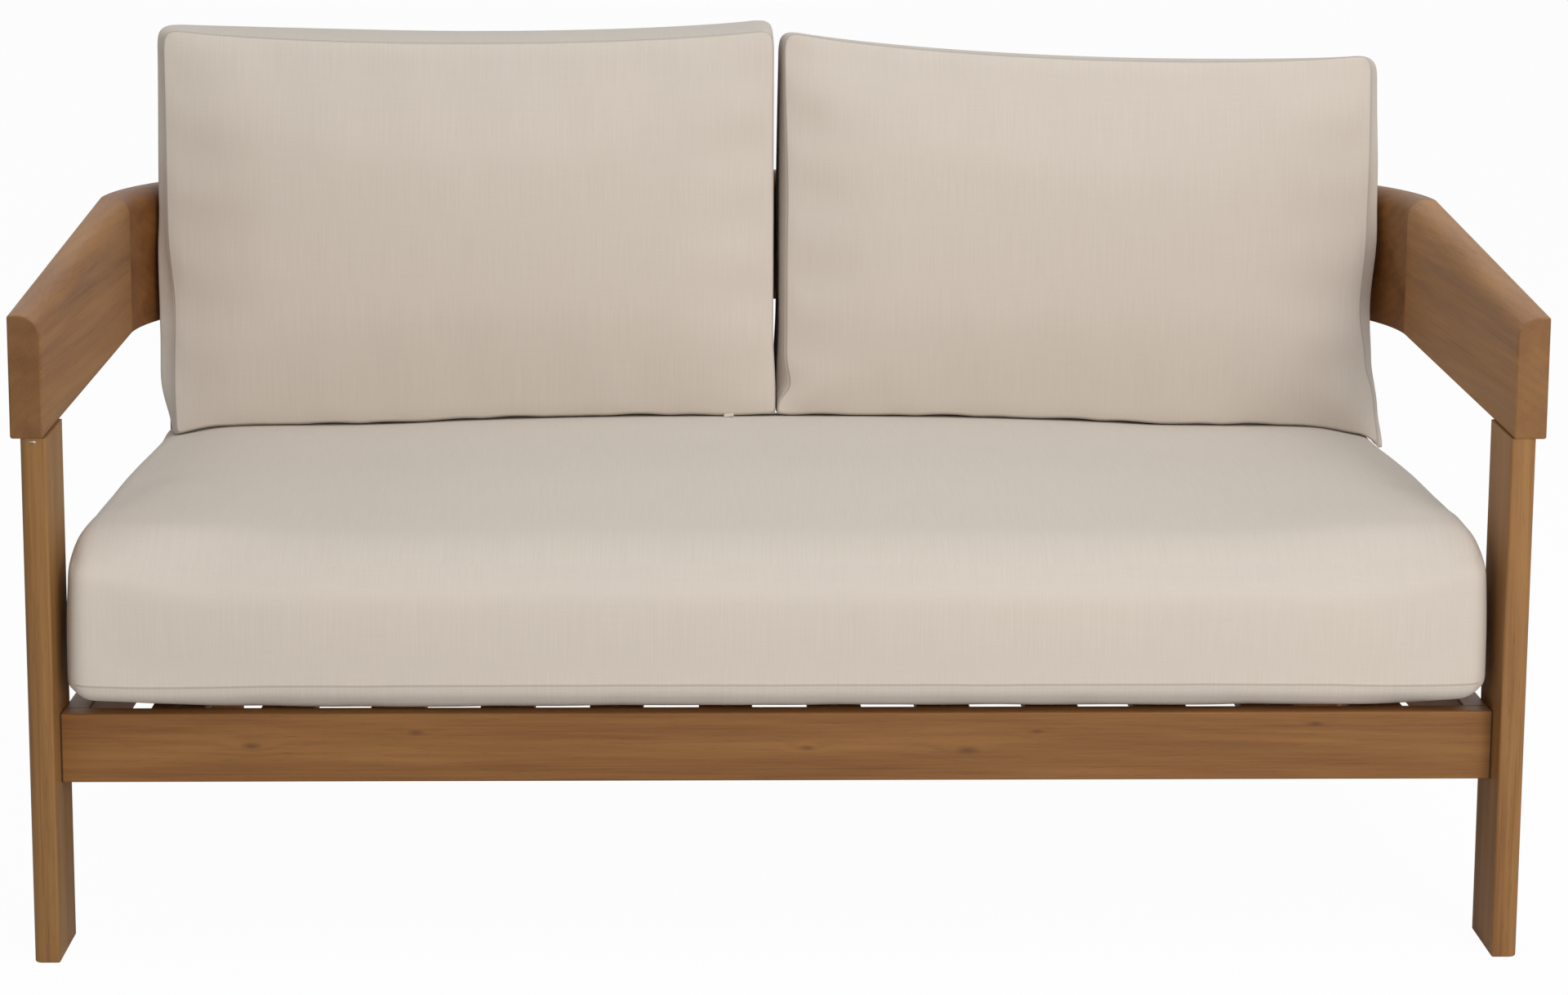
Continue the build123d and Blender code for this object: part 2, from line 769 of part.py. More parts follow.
def zip_fastener(place, length):
    """A zip on a face: tape, chain and slider in one piece, x along the tape."""
    tape = Box(length, zip_tape_width, zip_tape_thickness,
               align=(Align.CENTER, Align.CENTER, Align.MIN))
    chain = Box(length, zip_chain_width, zip_tape_thickness + zip_chain_height,
                align=(Align.CENTER, Align.CENTER, Align.MIN))
    slider = Pos(length / 2 - zip_slider_length, 0, 0) * Box(
        zip_slider_length, zip_slider_width, zip_tape_thickness + zip_slider_height,
        align=(Align.CENTER, Align.CENTER, Align.MIN))
    return place * (tape + chain + slider)


def both_sides(solids):
    """Solids of the right side, followed by their twins on the left."""
    return solids + [on_the_left(solid) for solid in solids]


def save(name, solids):
    """Write one node's STEP file."""
    if isinstance(solids, (list, tuple)):
        shape = Compound(children=[solid.solid() for solid in solids])
    else:
        shape = solids.solid()
    shape.label = name
    export_step(shape, os.path.join("parts", name + ".step"))


def save_pair(name, right_part):
    """Write a part that stands on the right, and its twin on the left."""
    save(name + "_right", right_part)
    save(name + "_left", on_the_left(right_part))


def save_band():
    """The arms, the curved corners and the back rail."""
    arm = make_right_arm(arm_seam_dowels() + front_leg_dowels() + [rear_arm_screw()])
    save("arm_right", arm)
    save("arm_left", on_the_left(cut_with(arm, [front_arm_screw()])))
    corner_pins = arm_seam_dowels() + rail_seam_dowels() + rear_leg_dowels()
    save_pair("curved_corner", make_right_corner(corner_pins))
    save("back_rail", make_back_rail(both_sides(rail_seam_dowels())))


def save_legs():
    """The four legs."""
    bolt_lines = right_bolt_lines()
    into_rail = front_rail_dowels()[:len(rail_dowel_shares)]
    front_fixings = front_leg_dowels() + into_rail + insert_room(bolt_lines[0::2])
    front_leg = make_right_front_leg(front_fixings + [rear_arm_screw()])
    save("front_leg_right", front_leg)
    save("front_leg_left", on_the_left(cut_with(front_leg, [front_arm_screw()])))
    rear_fixings = rear_leg_dowels() + insert_room(bolt_lines[1::2])
    save_pair("rear_leg", make_right_rear_leg(rear_fixings))


def save_seat_frame():
    """The four seat rails and the rear corner blocks."""
    bolt_lines = right_bolt_lines()
    rail_pins = front_rail_dowels()
    block_screws = make_right_block_screws()
    cleat_screws = make_cleat_screws()
    save("front_seat_rail", make_front_rail(both_sides(rail_pins) + cleat_screws[0::2]))
    save("rear_seat_rail", make_rear_rail(both_sides(block_screws) + cleat_screws[1::2]))
    into_side = rail_pins[len(rail_dowel_shares):]
    side_fixings = into_side + bolt_room(bolt_lines[0::2]) + block_screws
    save_pair("side_seat_rail", make_right_side_rail(side_fixings))
    block_fixings = bolt_room(bolt_lines[1::2]) + block_screws
    save_pair("rear_corner_block", make_right_corner_block(block_fixings))


def save_slats():
    """The slats and the two cleats that carry them."""
    slat_screws = make_slat_screws()
    cleat_screws = make_cleat_screws()
    save("front_slat_cleat", make_front_cleat(slat_screws[0::2] + cleat_screws[0::2]))
    save("rear_slat_cleat", make_rear_cleat(slat_screws[1::2] + cleat_screws[1::2]))
    for i, x in enumerate(slat_centres()):
        save("seat_slat_%02d" % (i + 1), make_slat(x, slat_screws[2 * i:2 * i + 2]))


def save_fixings():
    """Screws, bolts, inserts and dowels, one node for each kind and place."""
    save("slat_screws", make_slat_screws())
    save("cleat_screws", make_cleat_screws())
    save("corner_block_screws", both_sides(make_right_block_screws()))
    save("frame_bolts", both_sides(make_right_bolts()))
    save("leg_inserts", both_sides(make_right_inserts()))
    save("band_dowels", both_sides(arm_seam_dowels() + rail_seam_dowels()))
    save("leg_dowels", both_sides(front_leg_dowels() + rear_leg_dowels()))
    save("seat_rail_dowels", both_sides(front_rail_dowels()))
    save("arm_screws", both_sides([rear_arm_screw()]) + [on_the_left(front_arm_screw())])


def save_seat_cushion():
    """The seat cushion's cover, foam and zip."""
    core = seat_solid(cover_thickness)
    save("seat_cushion_cover", seat_solid(0) - core)
    save("seat_cushion_foam", core)
    save("seat_cushion_zip", seat_zip())


def right_pillow_parts(tilt_share, inner_x):
    """Cover, fill and zip of a pillow on the right, by name."""
    fill = pillow_solid(tilt_share, inner_x, cover_thickness)
    return {
        "cover": pillow_solid(tilt_share, inner_x, 0) - fill,
        "fill": fill,
        "zip": pillow_zip(tilt_share, inner_x),
    }


def save_pillows():
    """Both back pillows, which lean by their own shares of the crown's slope."""
    right = right_pillow_parts(right_pillow_tilt_share, pillow_gap / 2 + pillow_row_offset)
    for name, part in right.items():
        save("right_pillow_" + name, part)
    left = right_pillow_parts(left_pillow_tilt_share, pillow_gap / 2 - pillow_row_offset)
    for name, part in left.items():
        save("left_pillow_" + name, on_the_left(part))


def main():
    os.makedirs("parts", exist_ok=True)
    save_band()
    save_legs()
    save_seat_frame()
    save_slats()
    save_fixings()
    save_seat_cushion()
    save_pillows()


main()
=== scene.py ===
import math

import bmesh
import bpy
from mathutils import Matrix, Vector
from mathutils.bvhtree import BVHTree


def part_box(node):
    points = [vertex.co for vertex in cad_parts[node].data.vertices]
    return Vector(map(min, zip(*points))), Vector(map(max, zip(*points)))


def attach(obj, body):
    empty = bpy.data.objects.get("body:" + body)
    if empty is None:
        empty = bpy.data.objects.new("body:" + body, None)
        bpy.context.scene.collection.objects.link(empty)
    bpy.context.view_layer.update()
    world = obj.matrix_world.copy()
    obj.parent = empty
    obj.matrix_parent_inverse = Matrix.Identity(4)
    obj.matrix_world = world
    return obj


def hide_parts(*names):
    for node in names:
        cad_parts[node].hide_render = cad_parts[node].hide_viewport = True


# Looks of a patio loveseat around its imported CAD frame. Lengths are in metres, in the frame's
# own coordinates: X along the width, -Y the front, +Z up.

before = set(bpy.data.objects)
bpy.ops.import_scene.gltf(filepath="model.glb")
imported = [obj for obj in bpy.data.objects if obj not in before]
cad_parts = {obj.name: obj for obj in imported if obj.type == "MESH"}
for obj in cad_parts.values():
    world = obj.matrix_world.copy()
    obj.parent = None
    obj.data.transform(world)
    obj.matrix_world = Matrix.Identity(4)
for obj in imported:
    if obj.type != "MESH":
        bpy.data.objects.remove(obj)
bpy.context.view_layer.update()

# Camera, fitted to the photograph's edges
camera_place = (-0.082, -3.374, 1.108)
camera_yaw = -1.57
camera_pitch = 8.39
camera_roll = 0.32
camera_lens = 74.16
camera_shift_y = -0.14

# Sizes of the frame that the cushions fit
seat_low, seat_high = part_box("seat_cushion_cover")
corner_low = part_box("curved_corner_right")[0]
rail_low, rail_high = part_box("back_rail")
corner_centre = Vector((rail_high.x, corner_low.y))
corner_inner_radius = rail_low.y - corner_low.y
slat_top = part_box("front_seat_rail")[1].z

# Surroundings
world_strength = 0.29
floor_half = 60
floor_shade = 0.86
floor_white_share = 0.97

# Wood: colours, the last of them painted shade for the gap at the front rail's ends, distance
# between rings, and how much longer a knot is along the grain
wood_dark = (104, 62, 29)
wood_middle = (133, 87, 45)
wood_light = (158, 111, 65)
wood_pore = (74, 42, 20)
wood_end = (96, 62, 32)
wood_knot = (70, 40, 20)
wood_joint_shade = (34, 18, 8)
ring_pitch = 0.0105
knot_stretch = 3.2

# Linen: colours, the last of them painted shade along the seams, and the distance between threads
linen_base = (208, 197, 185)
linen_shade = (182, 169, 155)
linen_pale = (226, 218, 207)
linen_patch = (198, 188, 182)
linen_seam_shade = (128, 108, 92)
weave_pitch = 0.0011

# Cover cloth: distance between lattice points, its seams, its filling, and the rounds in which
# neighbours share their moves
cloth_step = 0.0092
seam_width = 0.0011
seam_hold_reach = 0.001
seam_crease = 0.55
corner_crease = 0.85
swell_frames = 20
swell_pressure = 3.0
even_rounds = 5

# Zips: steps along the tape, how far teeth stand to their side, half widths and heights of the
# tape, then (length, width, height, share of them at the top) of a tooth, the slider, its bridge,
# its pull and the loose end, and where these stand
zip_step = 0.008
zip_tooth_pitch = 0.0030
zip_tooth_shift = 0.0009
zip_tape_half = 0.013
zip_track_half = 0.003
zip_tape_lift = 0.0006
zip_track_lift = 0.0009
zip_tooth_base = 0.0007
zip_tooth_size = (0.0015, 0.0034, 0.0012, 0.7)
zip_slider_size = (0.011, 0.0085, 0.0026, 0.78)
zip_bridge_size = (0.006, 0.0022, 0.0014, 0.7)
zip_pull_size = (0.024, 0.0050, 0.0012, 0.85)
zip_end_size = (0.011, 0.010, 0.0030, 0.75)
zip_slider_inset = 0.012
zip_bridge_lift = 0.0024
zip_pull_shift = 0.014
zip_pull_lift = 0.0022
zip_end_x = -0.046
zip_end_out = 0.003
zip_end_lift = 0.0008
probe_height = 0.1

# Seat cushion. The rounds are (reach along Y, along Z) at the front and (along X, along Z) at
# the ends. Each ramp and fall is (start, length) in shares of the cushion's depth, the puff's
# start in shares of its half length.
seat_side_height = 0.161
seat_rows = 23
seat_crown = 0.034
seat_crown_power = 2.4
seat_crown_ramp = (0, 0.46)
seat_rear_ramp = (0.6, 0.4)
seat_rear_share = 0.86
seat_end_puff = 0.0125
seat_puff_ramp = (0, 0.10)
seat_end_hump = 0.0065
seat_hump_ramp = (0.04, 0.14)
seat_hump_fall = (0.45, 0.45)
seat_puff_start = (0.6, 0.4)
seat_front_zone = (0.05, 0.12)
seat_end_zone = 0.15
seat_edge_gain = 1.3
seat_front_round = (0.070, 0.056)
seat_front_round_at_end = (0.050, 0.028)
seat_curl = (0.080, 0.026)
seat_end_round = (0.020, 0.026)
seat_foot_round = (0.022, 0.022)
seat_upright_round = 0.026
seat_rear_round = 0.036
seat_front_bulge = 0.007
seat_bulge_depth = 0.06
seat_seam_inset = 0.026
seat_start_inset = 0.002
seat_swell_cap = 0.006
seat_slack = 0.002
seat_seam_hold = 0.35
seat_floor_reach = 0.0005
seat_leg_gap = 0.0012
seat_slat_gap = 0.0006

# Back pillows, both as if on the right. Corners of the front panel are (distance from the
# middle, height), inner low, outer low, outer high, inner high. Each line runs up an end, from
# (share of the height, move): the outer end's seam, how far its strip bulges, the inner seam.
# Folds and tucks have turns in radians per metre. The rail's reach is (below, above) it.
pillow_lean = math.radians(5)
pillow_thickness = 0.186
pillow_face_y = rail_low.y - pillow_thickness
pillow_rows_deep = 20
pillow_corner_radius = 0.016
pillow_low_corner_radius = 0.0015
pillow_swell_cap = 0.010
pillow_slack = 0.003
pillow_seam_hold = 0.5
pillow_strip_hold = 0.8
pillow_strip_facing = 0.6
pillow_clearance = 0.0012
pillow_back_gap = 0.003
pillow_back_lean_share = 0.9
pillow_crown = 0.016
pillow_ripple = 0.0020
pillow_top_bulge = 0.005
pillow_inner_bulge = 0.002
pillow_rear_bulge = 0.006
pillow_fold = 0.0018
pillow_fold_turns = (46, 19)
pillow_tuck = 0.0018
pillow_tuck_turns = (78, 64)
pillow_tuck_reach = (0.03, 0.028)
pillow_panel = (0.67, 0.42)
pillow_outer_ramp = (0.86, 0.14)
pillow_inner_share = 0.1
pillow_rest_share = 0.35
pillow_edge_rise = 0.010
rail_reach = (0.012, 0.006)
pillow_overhang = 0.020
pillow_overhang_reach = 0.05
gap_middle = 0.0065
gap_half_low = 0.0007
gap_half_high = 0.0034
gap_ramp = (0.46, 0.07)
rest_height = 0.440
left_pillow = {
    "corners": ((-0.0075, 0.440), (0.660, 0.418), (0.667, 0.859), (-0.003, 0.861)),
    "sag": 0.0155,
    "back_drop": 0.001,
    "seam_line": ((0, -0.004), (0.12, -0.003), (0.3, -0.005), (0.5, 0.001), (1, 0.0)),
    "bulge_line": ((0, 0.008), (0.15, 0.017), (0.30, 0.018), (0.55, 0.010), (1, 0.008)),
    "inner_line": ((0, 0.0), (0.5, 0.001), (1, 0.0)),
}
right_pillow = {
    "corners": ((0.0055, 0.440), (0.666, 0.408), (0.665, 0.836), (0.013, 0.859)),
    "sag": 0.018,
    "back_drop": 0.020,
    "seam_line": ((0, 0.013), (0.1, 0.007), (0.2, -0.003), (0.33, -0.009), (0.55, -0.002),
                  (0.75, 0.0), (1, 0.0)),
    "bulge_line": ((0, 0.005), (0.1, 0.006), (0.2, 0.010), (0.33, 0.014), (1, 0.009)),
    "inner_line": ((0, 0.0), (0.03, 0.002), (0.075, 0.016), (0.15, 0.010), (0.5, 0.008),
                   (1, 0.001)),
}


def srgb(red, green, blue):
    """Linear colour of an sRGB colour given in 0 to 255."""
    def linear(value):
        share = value / 255
        if share <= 0.04045:
            return share / 12.92
        return ((share + 0.055) / 1.055) ** 2.4
    return (linear(red), linear(green), linear(blue), 1.0)


def mixed(a, b, share):
    """A value part of the way from a to b."""
    return a + (b - a) * share


def smooth_step(value):
    """Smooth rise from 0 to 1."""
    value = min(1.0, max(0.0, value))
    return value * value * (3 - 2 * value)


def ramp(value, start, length):
    """Smooth rise from 0 at a start to 1 a length later."""
    return smooth_step((value - start) / length)


def along(line, value):
    """Height of a line through points at a value, eased between them."""
    for (start, a), (end, b) in zip(line, line[1:]):
        if value <= end:
            return mixed(a, b, smooth_step((value - start) / (end - start)))
    return line[-1][1]


# Node trees

class Nodes:
    """A node tree, with short calls that add nodes and join them."""

    def __init__(self, tree):
        self.tree = tree
        tree.nodes.clear()

    def feed(self, socket, value):
        """Join an output to a socket, or set the socket to a constant."""
        if isinstance(value, bpy.types.NodeSocket):
            self.tree.links.new(value, socket)
        else:
            socket.default_value = value

    def add(self, kind, output, inputs=(), **settings):
        """Add a node with its settings and inputs, and give one of its outputs."""
        node = self.tree.nodes.new("ShaderNode" + kind)
        for name, value in settings.items():
            setattr(node, name, value)
        for key, value in dict(inputs).items():
            self.feed(node.inputs[key], value)
        return node.outputs[output]

    def close(self, kind, surface):
        """Join a surface to the tree's output."""
        output = self.tree.nodes.new("ShaderNode" + kind)
        self.tree.links.new(surface, output.inputs["Surface"])

    def place(self):
        """Where a point lies in its object's own coordinates."""
        return self.add("TexCoord", "Object")

    def attribute(self, name, output="Vector"):
        """A value that the mesh carries."""
        return self.add("Attribute", output, attribute_name=name)

    def mapping(self, vector, location=(0, 0, 0), rotation=(0, 0, 0), scale=(1, 1, 1)):
        """A vector that is scaled, turned and moved, in this order."""
        return self.add("Mapping", "Vector", {"Vector": vector, "Location": location,
                                              "Rotation": rotation, "Scale": scale})

    def noise(self, vector, scale, detail=2.0, roughness=0.5):
        """Noise with one scale."""
        return self.add("TexNoise", "Fac", {"Vector": vector, "Scale": scale, "Detail": detail,
                                            "Roughness": roughness})

    def streaks(self, vector, scale, detail=2.0, roughness=0.5):
        """Noise with its own scale along each axis."""
        return self.noise(self.mapping(vector, scale=scale), 1.0, detail, roughness)

    def math(self, operation, a, b=0.0):
        """A sum, a product or another operation on values."""
        return self.add("Math", 0, {0: a, 1: b}, operation=operation)

    def vector_math(self, operation, a, b=(0, 0, 0), output="Vector"):
        """An operation on vectors."""
        return self.add("VectorMath", output, {0: a, 1: b}, operation=operation)

    def axis(self, vector, number):
        """One coordinate of a vector."""
        return self.add("SeparateXYZ", number, {0: vector})

    def spread(self, value, low, high, to_low=0.0, to_high=1.0):
        """A value's range stretched to another, and held there."""
        return self.add("MapRange", "Result", {"Value": value, "From Min": low, "From Max": high,
                                               "To Min": to_low, "To Max": to_high})

    def mix(self, share, a, b, blend="MIX"):
        """Two colours mixed by a share."""
        return self.add("Mix", 2, {"Factor": share, 6: a, 7: b}, data_type="RGBA",
                        blend_type=blend)

    def mix_shaders(self, share, a, b):
        """Two surfaces mixed by a share."""
        return self.add("MixShader", "Shader", {"Fac": share, 1: a, 2: b})

    def bump(self, height, strength, distance):
        """A normal that a height tilts."""
        return self.add("Bump", "Normal", {"Height": height, "Strength": strength,
                                           "Distance": distance})


class Graph(Nodes):
    """A new material's node tree, around one shader."""

    def __init__(self, name):
        self.material = bpy.data.materials.new(name)
        self.material.use_nodes = True
        super().__init__(self.material.node_tree)
        self.shader = self.tree.nodes.new("ShaderNodeBsdfPrincipled")
        self.close("OutputMaterial", self.shader.outputs["BSDF"])

    def set(self, **values):
        """Set the shader's own sockets, named with underscores for spaces."""
        for name, value in values.items():
            self.feed(self.shader.inputs[name.replace("_", " ")], value)


# Camera, light and floor

def make_camera():
    """The camera at the photograph's place, looking down a little."""
    data = bpy.data.cameras.new("photo_camera")
    data.lens = camera_lens
    data.sensor_width = 36
    data.shift_y = camera_shift_y
    camera = bpy.data.objects.new("photo_camera", data)
    turn = Matrix.Rotation(math.radians(camera_yaw), 4, "Z")
    tip = Matrix.Rotation(math.radians(90 - camera_pitch), 4, "X")
    roll = Matrix.Rotation(math.radians(camera_roll), 4, "Z")
    camera.matrix_world = Matrix.Translation(camera_place) @ turn @ tip @ roll
    bpy.context.scene.collection.objects.link(camera)
    bpy.context.scene.camera = camera


def make_lamp(name, place, target, size, power, colour):
    """A square soft lamp aimed at a point."""
    data = bpy.data.lights.new(name, "AREA")
    data.shape = "SQUARE"
    data.size = size
    data.energy = power
    data.color = colour
    lamp = bpy.data.objects.new(name, data)
    lamp.location = place
    lamp.rotation_euler = (Vector(target) - Vector(place)).to_track_quat("-Z", "Y").to_euler()
    bpy.context.scene.collection.objects.link(lamp)


def make_lamps():
    """Soft boxes above, in front and at both sides."""
    make_lamp("top_box", (0.4, -0.5, 3.4), (0, 0, 0.4), 2.4, 43, (0.86, 0.94, 1.0))
    make_lamp("front_box", (1.3, -4.6, 1.7), (0, 0, 0.5), 2.2, 90, (1.0, 0.98, 0.95))
    make_lamp("left_box", (-2.2, -1.4, 2.8), (0, 0, 0.4), 1.0, 4, (1.0, 0.99, 0.98))
    make_lamp("right_box", (1.7, -3.0, 2.6), (0.2, 0, 0.4), 1.2, 26, (1.0, 0.99, 0.98))


def make_world():
    """Plain white surroundings: full white to the eye and to gloss, dimmer as light."""
    world = bpy.data.worlds.new("studio")
    bpy.context.scene.world = world
    world.use_nodes = True
    nodes = Nodes(world.node_tree)
    seen = nodes.math("MAXIMUM", nodes.add("LightPath", "Is Camera Ray"),
                      nodes.add("LightPath", "Is Glossy Ray"))
    seen = nodes.math("MAXIMUM", seen, nodes.add("LightPath", "Is Transmission Ray"))
    light = nodes.add("Background", "Background",
                      {"Color": (1.0, 0.99, 0.98, 1), "Strength": world_strength})
    white = nodes.add("Background", "Background", {"Color": (1, 1, 1, 1), "Strength": 1.0})
    nodes.close("OutputWorld", nodes.mix_shaders(seen, light, white))


def make_floor():
    """A wide pale floor that keeps a soft shadow."""
    mesh = bpy.data.meshes.new("studio_floor")
    corners = [(a * floor_half, b * floor_half, 0) for a, b in ((-1, -1), (1, -1), (1, 1), (-1, 1))]
    mesh.from_pydata(corners, [], [(0, 1, 2, 3)])
    floor = bpy.data.objects.new("studio_floor", mesh)
    bpy.context.scene.collection.objects.link(floor)
    material = bpy.data.materials.new("pale_floor")
    material.use_nodes = True
    nodes = Nodes(material.node_tree)
    matt = nodes.add("BsdfDiffuse", "BSDF", {"Color": (floor_shade,) * 3 + (1,)})
    glow = nodes.add("Emission", "Emission", {"Color": (1, 1, 1, 1)})
    share = nodes.math("MULTIPLY", nodes.add("LightPath", "Is Camera Ray"), floor_white_share)
    nodes.close("OutputMaterial", nodes.mix_shaders(share, matt, glow))
    mesh.materials.append(material)


# Materials

grain_turns = {
    "x": (0, 0, 0),
    "y": (0, 0, math.radians(-90)),
    "z": (0, math.radians(90), 0),
    "right_corner": (0, 0, math.radians(45)),
    "left_corner": (0, 0, math.radians(-45)),
}
grain_axes = {
    "x": (1, 0, 0),
    "y": (0, 1, 0),
    "z": (0, 0, 1),
    "right_corner": (0.7071, -0.7071, 0),
    "left_corner": (0.7071, 0.7071, 0),
}


def make_wood(name, grain, number, tone_and_painted_light=(1, 1, 1), knots=(), shaded_end_x=None):
    """Oiled acacia: rings, streaks, fibres and pores that run along a board's own grain."""
    graph = Graph(name)
    length = graph.mapping(graph.place(), rotation=grain_turns[grain])
    shift = (number * 1.37 % 2.9, number * 0.83 % 1.7, number * 0.61 % 1.3)
    board = graph.mapping(length, location=shift)
    rings = wood_rings(graph, length, board, shift, knots)
    streaks = graph.streaks(board, (1.1, 34, 34), 4.0, 0.6)
    fibres = graph.streaks(board, (9, 520, 520), 3.0, 0.6)
    pores = graph.spread(graph.streaks(board, (42, 1300, 1300), 1.0), 0.66, 0.74)

    colour = wood_colour(graph, board, rings, streaks, fibres, pores)
    for knot in knots:
        colour = graph.mix(knot_heart(graph, knot), colour, srgb(*wood_knot))
    colour = graph.mix(graph.math("MULTIPLY", end_grain(graph, grain), 0.55),
                       colour, srgb(*wood_end))
    # Multiply by the board's tone, which on the arms and curved corners also carries painted light
    # and shade.
    colour = graph.mix(1.0, colour, tuple(tone_and_painted_light) + (1,), "MULTIPLY")
    # Painted shade: a dark line just inside the front rail's ends, where the gap beside each leg is
    # in shade.
    if shaded_end_x is not None:
        out = graph.math("ABSOLUTE", graph.axis(graph.place(), 0))
        colour = graph.mix(graph.spread(out, shaded_end_x - 0.0022, shaded_end_x - 0.0012, 0.0, 0.85),
                           colour, srgb(*wood_joint_shade))

    height = graph.math("SUBTRACT", graph.math("MULTIPLY", fibres, 0.6), pores)
    height = graph.math("ADD", height, graph.math("MULTIPLY", rings, 0.3))
    graph.set(Base_Color=colour, IOR=1.42, Specular_IOR_Level=0.42)
    graph.set(Roughness=graph.spread(streaks, 0.3, 0.7, 0.42, 0.54))
    graph.set(Normal=graph.bump(height, 0.30, 0.0004))
    return graph.material


def wood_rings(graph, length, board, shift, knots):
    """Growth rings round a pith that lies outside the board, pushed aside by knots."""
    sway = graph.streaks(board, (1.4, 7, 7), 3.0)
    pith = graph.mapping(length, location=(shift[0] * 0.1, 0.16 + shift[1] * 0.05, 0.21),
                         scale=(0.075, 1, 1))
    reach = graph.vector_math("LENGTH", pith, output="Value")
    reach = graph.math("ADD", reach, graph.math("MULTIPLY", sway, 0.05))
    for knot in knots:
        reach = graph.math("ADD", reach, knot_swirl(graph, knot))
    rings = graph.math("SINE", graph.math("MULTIPLY", reach, 2 * math.pi / ring_pitch))
    return graph.math("POWER", graph.spread(rings, -1.0, 1.0), 1.8)


def wood_colour(graph, board, rings, streaks, fibres, pores):
    """The board's colour before its knots, its end grain and its multiplied tone, which on some
    boards holds painted light.
    """
    dark, middle, light = srgb(*wood_dark), srgb(*wood_middle), srgb(*wood_light)
    patches = graph.streaks(board, (2.6, 26, 26), 3.0)
    colour = graph.mix(graph.spread(streaks, 0.32, 0.64), dark, middle)
    colour = graph.mix(graph.spread(patches, 0.42, 0.72, 0.0, 0.55), colour, light)
    colour = graph.mix(graph.math("MULTIPLY", rings, 0.22), colour, dark)
    colour = graph.mix(graph.spread(fibres, 0.35, 0.65, 0.0, 0.26), colour, light)
    return graph.mix(graph.math("MULTIPLY", pores, 0.30), colour, srgb(*wood_pore))


def end_grain(graph, grain):
    """How squarely a face cuts across the grain."""
    normal = graph.add("NewGeometry", "Normal")
    facing = graph.vector_math("DOT_PRODUCT", normal, grain_axes[grain], output="Value")
    return graph.spread(graph.math("ABSOLUTE", facing), 0.6, 0.95)


def knot_offset(graph, knot):
    """Distance from a knot's heart in its own radii, longer along the grain."""
    x, z, radius = knot
    reach = knot_stretch * radius
    place = graph.mapping(graph.place(), location=(-x / reach, 0, -z / radius),
                          scale=(1 / reach, 0, 1 / radius))
    return graph.vector_math("LENGTH", place, output="Value")


def knot_swirl(graph, knot):
    """How far the rings are pushed aside round a knot."""
    return graph.spread(knot_offset(graph, knot), 0.0, 4.5, 0.012, 0.0)


def knot_heart(graph, knot):
    """Dark heart of a knot."""
    return graph.spread(knot_offset(graph, knot), 0.2, 1.5, 0.6, 0.0)


def make_linen(name, number):
    """Plain-weave cover cloth with slubs, and with seams where the mesh marks them."""
    graph = Graph(name)
    cloth = graph.mapping(graph.attribute("weave"), location=(number * 0.37, number * 0.71, 0))
    threads = 2 * math.pi / weave_pitch
    warp = graph.math("SINE", graph.math("MULTIPLY", graph.axis(cloth, 0), threads))
    weft = graph.math("SINE", graph.math("MULTIPLY", graph.axis(cloth, 1), threads))
    weave = graph.spread(graph.math("MULTIPLY", warp, weft), -1.0, 1.0)
    slubs = graph.spread(graph.streaks(cloth, (640, 26, 1), 1.0), 0.66, 0.86)
    seam = graph.attribute("seam", "Fac")
    stitch = graph.spread(seam, seam_width * 0.4, seam_width * 1.6, 1.0, 0.0)

    colour = linen_colour(graph, cloth, weave, slubs)
    # Painted shade: the cloth darkens along each seam, where its sunk groove is in shade.
    colour = graph.mix(graph.math("MULTIPLY", stitch, 0.34), colour, srgb(*linen_seam_shade))
    height = linen_height(graph, cloth, weave, slubs, seam, stitch)
    graph.set(Base_Color=colour, Roughness=0.92, IOR=1.4, Sheen_Weight=0.12, Sheen_Roughness=0.5)
    graph.set(Normal=graph.bump(height, 0.35, 0.0004))
    return graph.material


def linen_colour(graph, cloth, weave, slubs):
    """Colour of the cloth: uneven yarns, slubs, a fine heather and broad patches."""
    warp_yarn = graph.streaks(cloth, (820, 14, 1), 3.0, 0.6)
    weft_yarn = graph.streaks(cloth, (22, 820, 1), 3.0, 0.6)
    heather = graph.noise(cloth, 900.0, 1.0)
    patches = graph.noise(cloth, 5.0, 3.0)
    base, shade, pale = srgb(*linen_base), srgb(*linen_shade), srgb(*linen_pale)
    colour = graph.mix(graph.spread(warp_yarn, 0.3, 0.7, 0.0, 0.26), base, shade)
    colour = graph.mix(graph.spread(weft_yarn, 0.3, 0.7, 0.0, 0.12), colour, pale)
    colour = graph.mix(graph.math("MULTIPLY", slubs, 0.30), colour, pale)
    colour = graph.mix(graph.spread(heather, 0.35, 0.65, 0.0, 0.14), colour, shade)
    colour = graph.mix(graph.spread(patches, 0.40, 0.66, 0.0, 0.16), colour, srgb(*linen_patch))
    return graph.mix(graph.math("MULTIPLY", weave, 0.10), colour, shade)


def linen_height(graph, cloth, weave, slubs, seam, stitch):
    """Relief of the cloth: threads and slubs, the sunk stitch, its welt and its pucker."""
    welt = graph.spread(seam, seam_width * 1.5, 0.0045, 1.0, 0.0)
    beside = graph.spread(seam, seam_width, 0.009, 1.0, 0.0)
    pucker = graph.math("MULTIPLY", graph.noise(cloth, 85.0, 1.0), beside)
    height = graph.math("ADD", graph.math("MULTIPLY", weave, 0.35),
                        graph.math("MULTIPLY", slubs, 0.6))
    height = graph.math("SUBTRACT", height, graph.math("MULTIPLY", stitch, 3.0))
    height = graph.math("ADD", height, graph.math("MULTIPLY", welt, 2.0))
    return graph.math("ADD", height, graph.math("MULTIPLY", pucker, 2.0))


